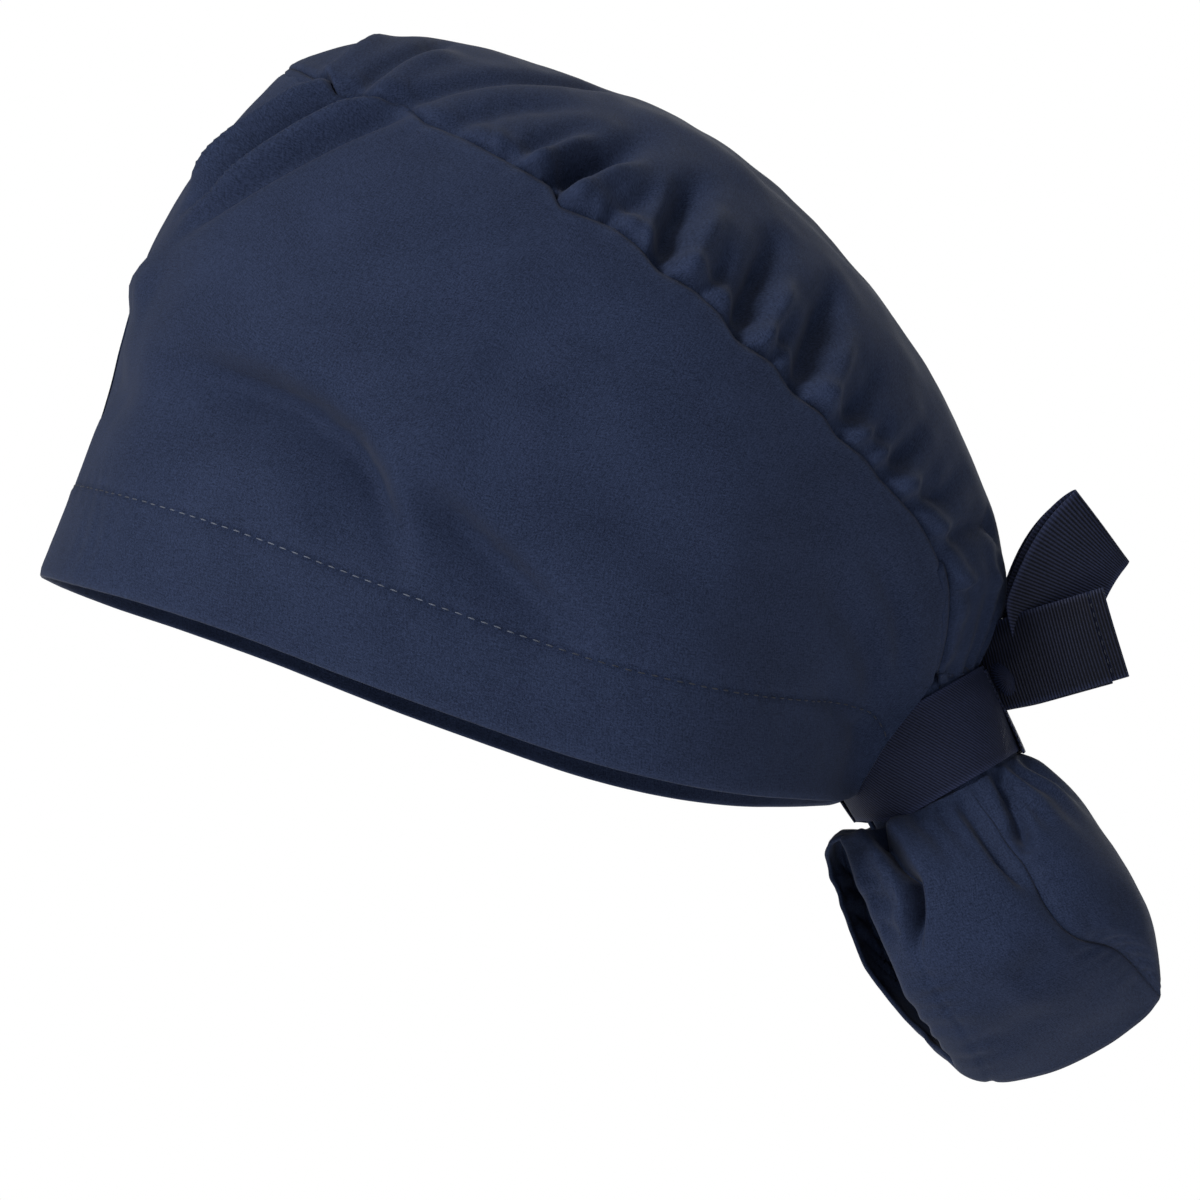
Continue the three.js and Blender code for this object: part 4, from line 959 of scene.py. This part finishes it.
class Shader:
    def __init__(self, name):
        self.material = bpy.data.materials.new(name)
        self.material.use_nodes = True
        self.tree = self.material.node_tree
        self.surface = self.tree.nodes["Principled BSDF"]

    def node(self, kind, settings=None, inputs=None):
        made = self.tree.nodes.new(kind)
        for name, value in (settings or {}).items():
            setattr(made, name, value)
        for name, value in (inputs or {}).items():
            self.put(made, name, value)
        return made

    def put(self, made, name, value):
        if isinstance(value, Wire):
            self.tree.links.new(value.socket, made.inputs[name])
        else:
            made.inputs[name].default_value = value

    def wire(self, kind, settings=None, inputs=None, output=0):
        return Wire(self, self.node(kind, settings, inputs).outputs[output])

    def uv(self):
        return self.wire("ShaderNodeUVMap", dict(uv_map="cloth"))

    def parts(self, vector):
        made = self.node("ShaderNodeSeparateXYZ", None, {0: vector})
        return Wire(self, made.outputs[0]), Wire(self, made.outputs[1])

    def noise(self, vector, scale, detail=2.0, rough=0.5):
        turned = self.wire("ShaderNodeMapping", None, {"Vector": vector, "Scale": scale})
        return self.wire("ShaderNodeTexNoise", None,
                         {"Vector": turned, "Scale": 1.0, "Detail": detail, "Roughness": rough})

    # reads the point value of worn edges and painted light and shade
    def wearAndShading(self):
        return self.wire("ShaderNodeAttribute", dict(attribute_name="wearAndShading"), output=2)

    def colours(self, factor, dark, light):
        made = self.node("ShaderNodeMix", dict(data_type="RGBA"), {"Factor": factor})
        self.put(made, 6, (*dark, 1))
        self.put(made, 7, (*light, 1))
        return Wire(self, made.outputs[2])

    def finish(self, look, shade, roughness, height):
        self.put(self.surface, "Base Color", self.colours(shade, look["dark"], look["light"]))
        self.put(self.surface, "Roughness", roughness)
        bump = self.wire("ShaderNodeBump", None,
                         {"Strength": look["bump"], "Distance": look["bumpDepth"], "Height": height})
        self.put(self.surface, "Normal", bump)
        for name, value in look["surface"].items():
            self.put(self.surface, name, value)
        return self.material


poplinLook = dict(dark=(0.0066, 0.0126, 0.0345), light=(0.0272, 0.0415, 0.094), pitch=0.00052, slub=0.9, grain=2.5,
                  mottle=0.6, wearAndShading=0.16, weave=0.12, roughness=0.78, bump=0.45, bumpDepth=0.00011,
                  surface={"Sheen Weight": 0.05, "Sheen Roughness": 0.5, "Specular IOR Level": 0.14})


def poplinMaterial():
    look = poplinLook
    cloth = Shader("navyPoplin")
    uv = cloth.uv()
    x, y = cloth.parts(uv)
    turn = 2 * math.pi / look["pitch"]
    warp, weft = (x * turn).sine(), (y * turn).sine()
    weave = warp * weft * 0.6 + (warp.size() + weft.size()) * 0.35
    slubAcross = cloth.noise(uv, (520, 3000, 1))
    slubAlong = cloth.noise(uv, (2800, 480, 1))
    grain = cloth.noise(uv, (2300, 2300, 1), 2.0, 0.7)
    mottle = cloth.noise(uv, (48, 60, 1), 5.0, 0.6)
    wearAndShading = cloth.wearAndShading()
    # the point value lightens worn edges and darkens the seam and stitch grooves as painted shade
    shade = (0.5 + (slubAcross - 0.5) * look["slub"] + (slubAlong - 0.5) * look["slub"] + (grain - 0.5) * look["grain"]
             + (mottle - 0.5) * look["mottle"] + wearAndShading * look["wearAndShading"] + (weave - 0.4) * look["weave"])
    height = weave * 0.5 + slubAcross * 0.5 + slubAlong * 0.5 + grain * 0.7
    return cloth.finish(look, shade, look["roughness"] + (grain - 0.5) * 0.2 - wearAndShading * 0.06, height)


ribbonLook = dict(dark=(0.001, 0.0016, 0.005), light=(0.027, 0.036, 0.088), pitch=0.00078, ribs=0.55, base=0.08,
                  threads=0.5, grain=0.35, mottle=0.25, wearAndShading=0.4, roughness=0.62, bump=0.8, bumpDepth=0.00022,
                  surface={"Sheen Weight": 0.02, "Sheen Roughness": 0.4, "Specular IOR Level": 0.16})


def ribbonMaterial():
    look = ribbonLook
    ribbon = Shader("navyGrosgrain")
    uv = ribbon.uv()
    ribs = (ribbon.parts(uv)[0] * (math.pi / look["pitch"])).sine().size()
    threads = ribbon.noise(uv, (900, 5200, 1))
    grain = ribbon.noise(uv, (1500, 1500, 1), 3.0)
    mottle = ribbon.noise(uv, (70, 70, 1))
    # the point value lightens the worn edges and adds each piece's painted light and shade
    shade = (ribs * ribs * look["ribs"] + look["base"] + (threads - 0.5) * look["threads"]
             + (grain - 0.5) * look["grain"] + (mottle - 0.5) * look["mottle"] + ribbon.wearAndShading() * look["wearAndShading"])
    height = ribs * 0.7 + threads * 0.2 + grain * 0.15
    return ribbon.finish(look, shade, look["roughness"] - ribs * 0.14 + (grain - 0.5) * 0.15, height)


# the hem's thread carries a painted highlight at the front of each side, around the x place listed first below, and is
# painted dark away from there, as in shade
threadLook = dict(dark=(0.004, 0.007, 0.02), light=(0.2, 0.235, 0.32), paintedHighlightAt=-0.021, brightHalf=0.03, darkFrom=0.06,
                  leastBright=0.1, bump=0.4, bumpDepth=0.0001, surface={"Sheen Weight": 0.1})


def threadMaterial():
    look = threadLook
    thread = Shader("stitchThread")
    place = thread.wire("ShaderNodeTexCoord", output=3)
    twist = thread.noise(place, (2500, 2500, 2500))
    mottle = thread.noise(place, (120, 120, 120))
    # the painted highlight fades with the distance along x from its place
    away = (thread.parts(place)[0] - look["paintedHighlightAt"]).size()
    faded = thread.wire("ShaderNodeMapRange", dict(interpolation_type="SMOOTHSTEP"),
                        {"Value": away, "From Min": look["brightHalf"], "From Max": look["darkFrom"], "To Min": 1.0,
                         "To Max": look["leastBright"]})
    return thread.finish(look, (twist * 0.6 + mottle * 0.4) * faded, 0.55 + twist * 0.2, twist)


cloth, ribbon, thread = poplinMaterial(), ribbonMaterial(), threadMaterial()


def dress(obj, material, slot, *nodes):
    obj.data.materials.clear()
    obj.data.materials.append(material)
    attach(obj, "root")
    if nodes:
        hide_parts(*nodes)
    return obj


# the cap
sidePanel, hemLine, hemUp = buildSidePanel()
dress(sidePanel, cloth, "cloth", "front_side_panel")
hemStitches = dress(stitchRow("hemStitches", hemLine, hemUp, **hemHold), thread, "cloth")
print("side panel made")
crown = dress(buildCrown(), cloth, "cloth", "crown_panel")
print("crown made")
pouchFront = dress(buildPouchFront(), cloth, "cloth", "pouch_front_panel")
pouchBack = dress(buildPouchBack(), cloth, "cloth", "pouch_back_panel")
print("pouch made")

ribbonPieces = {}
tailLength = bowShape["tailLength"] + bowShape["tailRoot"]
hemTo = 1 - bowShape["tailHem"] / tailLength
for side, word in ((-1, "left"), (1, "right")):
    if side < 0:
        wrap, loop = tieStep(tieShape["leftEnd"]), loopStep(0.0)
    else:
        wrap = tieStep(tieShape["rightEnd"], tieShape["rightLift"], tieShape["rightSlant"])
        loop = loopStep(bowShape["loopTurn"])
    named = word.capitalize()
    tieCloth = ribbonMesh("tieRibbon" + named, side, ribbonSteps["tie"], wrap, **ribbonLooks["tie"])[0]
    loopCloth = ribbonMesh("loopRibbon" + named, side, ribbonSteps["loop"], loop, **ribbonLooks["loop"])[0]
    tailCloth, tailPoints = ribbonMesh("tailRibbon" + named, side, ribbonSteps["tail"], tailStep(), hemTo=hemTo,
                                       **ribbonLooks["tail"])
    for obj, node in ((tieCloth, "tie_"), (loopCloth, "bow_loop_"), (tailCloth, "bow_tail_")):
        dress(thicken(obj, ribbonShape["thick"]), ribbon, "ribbon", node + word)
    row = int(round(ribbonSteps["tail"] * hemTo)) + 1
    normal = normalsOf(tailPoints, (110, 0, 0))[row]
    if np.sign(normal[:, 1].mean()) != np.sign(side):
        normal = -normal
    tailStitches = stitchRow("tailStitches" + named, tailPoints[row] + normal * 0.3, normal, **tailHold)
    dress(tailStitches, thread, "ribbon")
    ribbonPieces[word] = (tieCloth, loopCloth, tailCloth, tailStitches)
knot = dress(buildKnot(), ribbon, "ribbon", "bow_knot")
for word, (tieCloth, loopCloth, tailCloth, tailStitches) in ribbonPieces.items():
    0.062 if word == "left" else 0.073
    [knot] if word == "left" else []
print("bow made")

# floor, world, lights and camera
stageLook = dict(floorLow=-0.42, floorRadius=14, fadeFrom=0.6, fadeTo=3.2, leastFade=0.3, ambient=0.13,
                 aim=(0.03, 0, 0.03))
lampLooks = dict(
    keyLight=dict(place=(-1.72, -1.92, 1.3), size=0.8, power=57.0, colour=(1.0, 0.985, 0.965)),
    fillLight=dict(place=(1.3, -2.2, 0.5), size=1.8, power=3.0, colour=(0.95, 0.97, 1.0)),
    backLight=dict(place=(0.9, 2.5, 0.9), size=1.6, power=16.0, colour=(0.96, 0.98, 1.0)),
    topLight=dict(place=(0.1, 0.5, 2.2), size=1.8, power=12.0, colour=(0.96, 0.98, 1.0)))
bpy.ops.object.select_all(action="DESELECT")
bpy.ops.mesh.primitive_circle_add(vertices=96, radius=stageLook["floorRadius"], fill_type="NGON",
                                  location=(0, 0, stageLook["floorLow"]))
floor = bpy.context.object
floor.name = "studioFloor"
pale = Shader("paleFloor")
place = pale.wire("ShaderNodeTexCoord", output=3)
distance = pale.wire("ShaderNodeVectorMath", dict(operation="LENGTH"), {0: place}, output=1)
faded = pale.wire("ShaderNodeMapRange", dict(interpolation_type="SMOOTHSTEP"),
                  {"Value": distance, "From Min": stageLook["fadeFrom"], "From Max": stageLook["fadeTo"],
                   "To Min": stageLook["leastFade"]})
bright = pale.wire("ShaderNodeEmission", None, {"Color": (1, 1, 1, 1), "Strength": 1.0})
pale.put(pale.surface, "Base Color", (0.86, 0.86, 0.87, 1))
pale.put(pale.surface, "Roughness", 0.9)
blend = pale.wire("ShaderNodeMixShader", None, {0: faded, 1: Wire(pale, pale.surface.outputs[0]), 2: bright})
pale.put(pale.tree.nodes["Material Output"], "Surface", blend)
floor.data.materials.append(pale.material)

world = bpy.data.worlds.new("studioWorld")
bpy.context.scene.world = world
world.use_nodes = True
sky = world.node_tree
ambient = sky.nodes["Background"]
ambient.inputs["Color"].default_value = (0.93, 0.96, 1.0, 1)
ambient.inputs["Strength"].default_value = stageLook["ambient"]
white = sky.nodes.new("ShaderNodeBackground")
white.inputs["Color"].default_value = (1, 1, 1, 1)
rays = sky.nodes.new("ShaderNodeLightPath")
choose = sky.nodes.new("ShaderNodeMixShader")
sky.links.new(rays.outputs["Is Camera Ray"], choose.inputs[0])
sky.links.new(ambient.outputs[0], choose.inputs[1])
sky.links.new(white.outputs[0], choose.inputs[2])
sky.links.new(choose.outputs[0], sky.nodes["World Output"].inputs["Surface"])


def softLight(name, place, size, power, colour):
    data = bpy.data.lights.new(name, "AREA")
    data.size, data.energy, data.color = size, power, colour
    lamp = placed(name, data)
    lamp.location = place
    lamp.rotation_euler = (Vector(stageLook["aim"]) - Vector(place)).to_track_quat("-Z", "Y").to_euler()


for name, lamp in lampLooks.items():
    softLight(name, **lamp)

view = dict(aim=(0.0377, 0.0, 0.0211), distance=1.2, elevation=-3.5, lens=150, sensor=36)
camera = placed("photoCamera", bpy.data.cameras.new("photoCamera"))
rise = math.radians(view["elevation"])
aim = Vector(view["aim"])
camera.location = aim + Vector((0, -math.cos(rise), math.sin(rise))) * view["distance"]
camera.rotation_euler = (aim - camera.location).to_track_quat("-Z", "Y").to_euler()
camera.data.lens, camera.data.sensor_width = view["lens"], view["sensor"]
camera.data.clip_end = 60
bpy.context.scene.camera = camera
bpy.context.scene.view_settings.view_transform = "Standard"
bpy.context.scene.view_settings.look = "None"
print("stage and camera made")
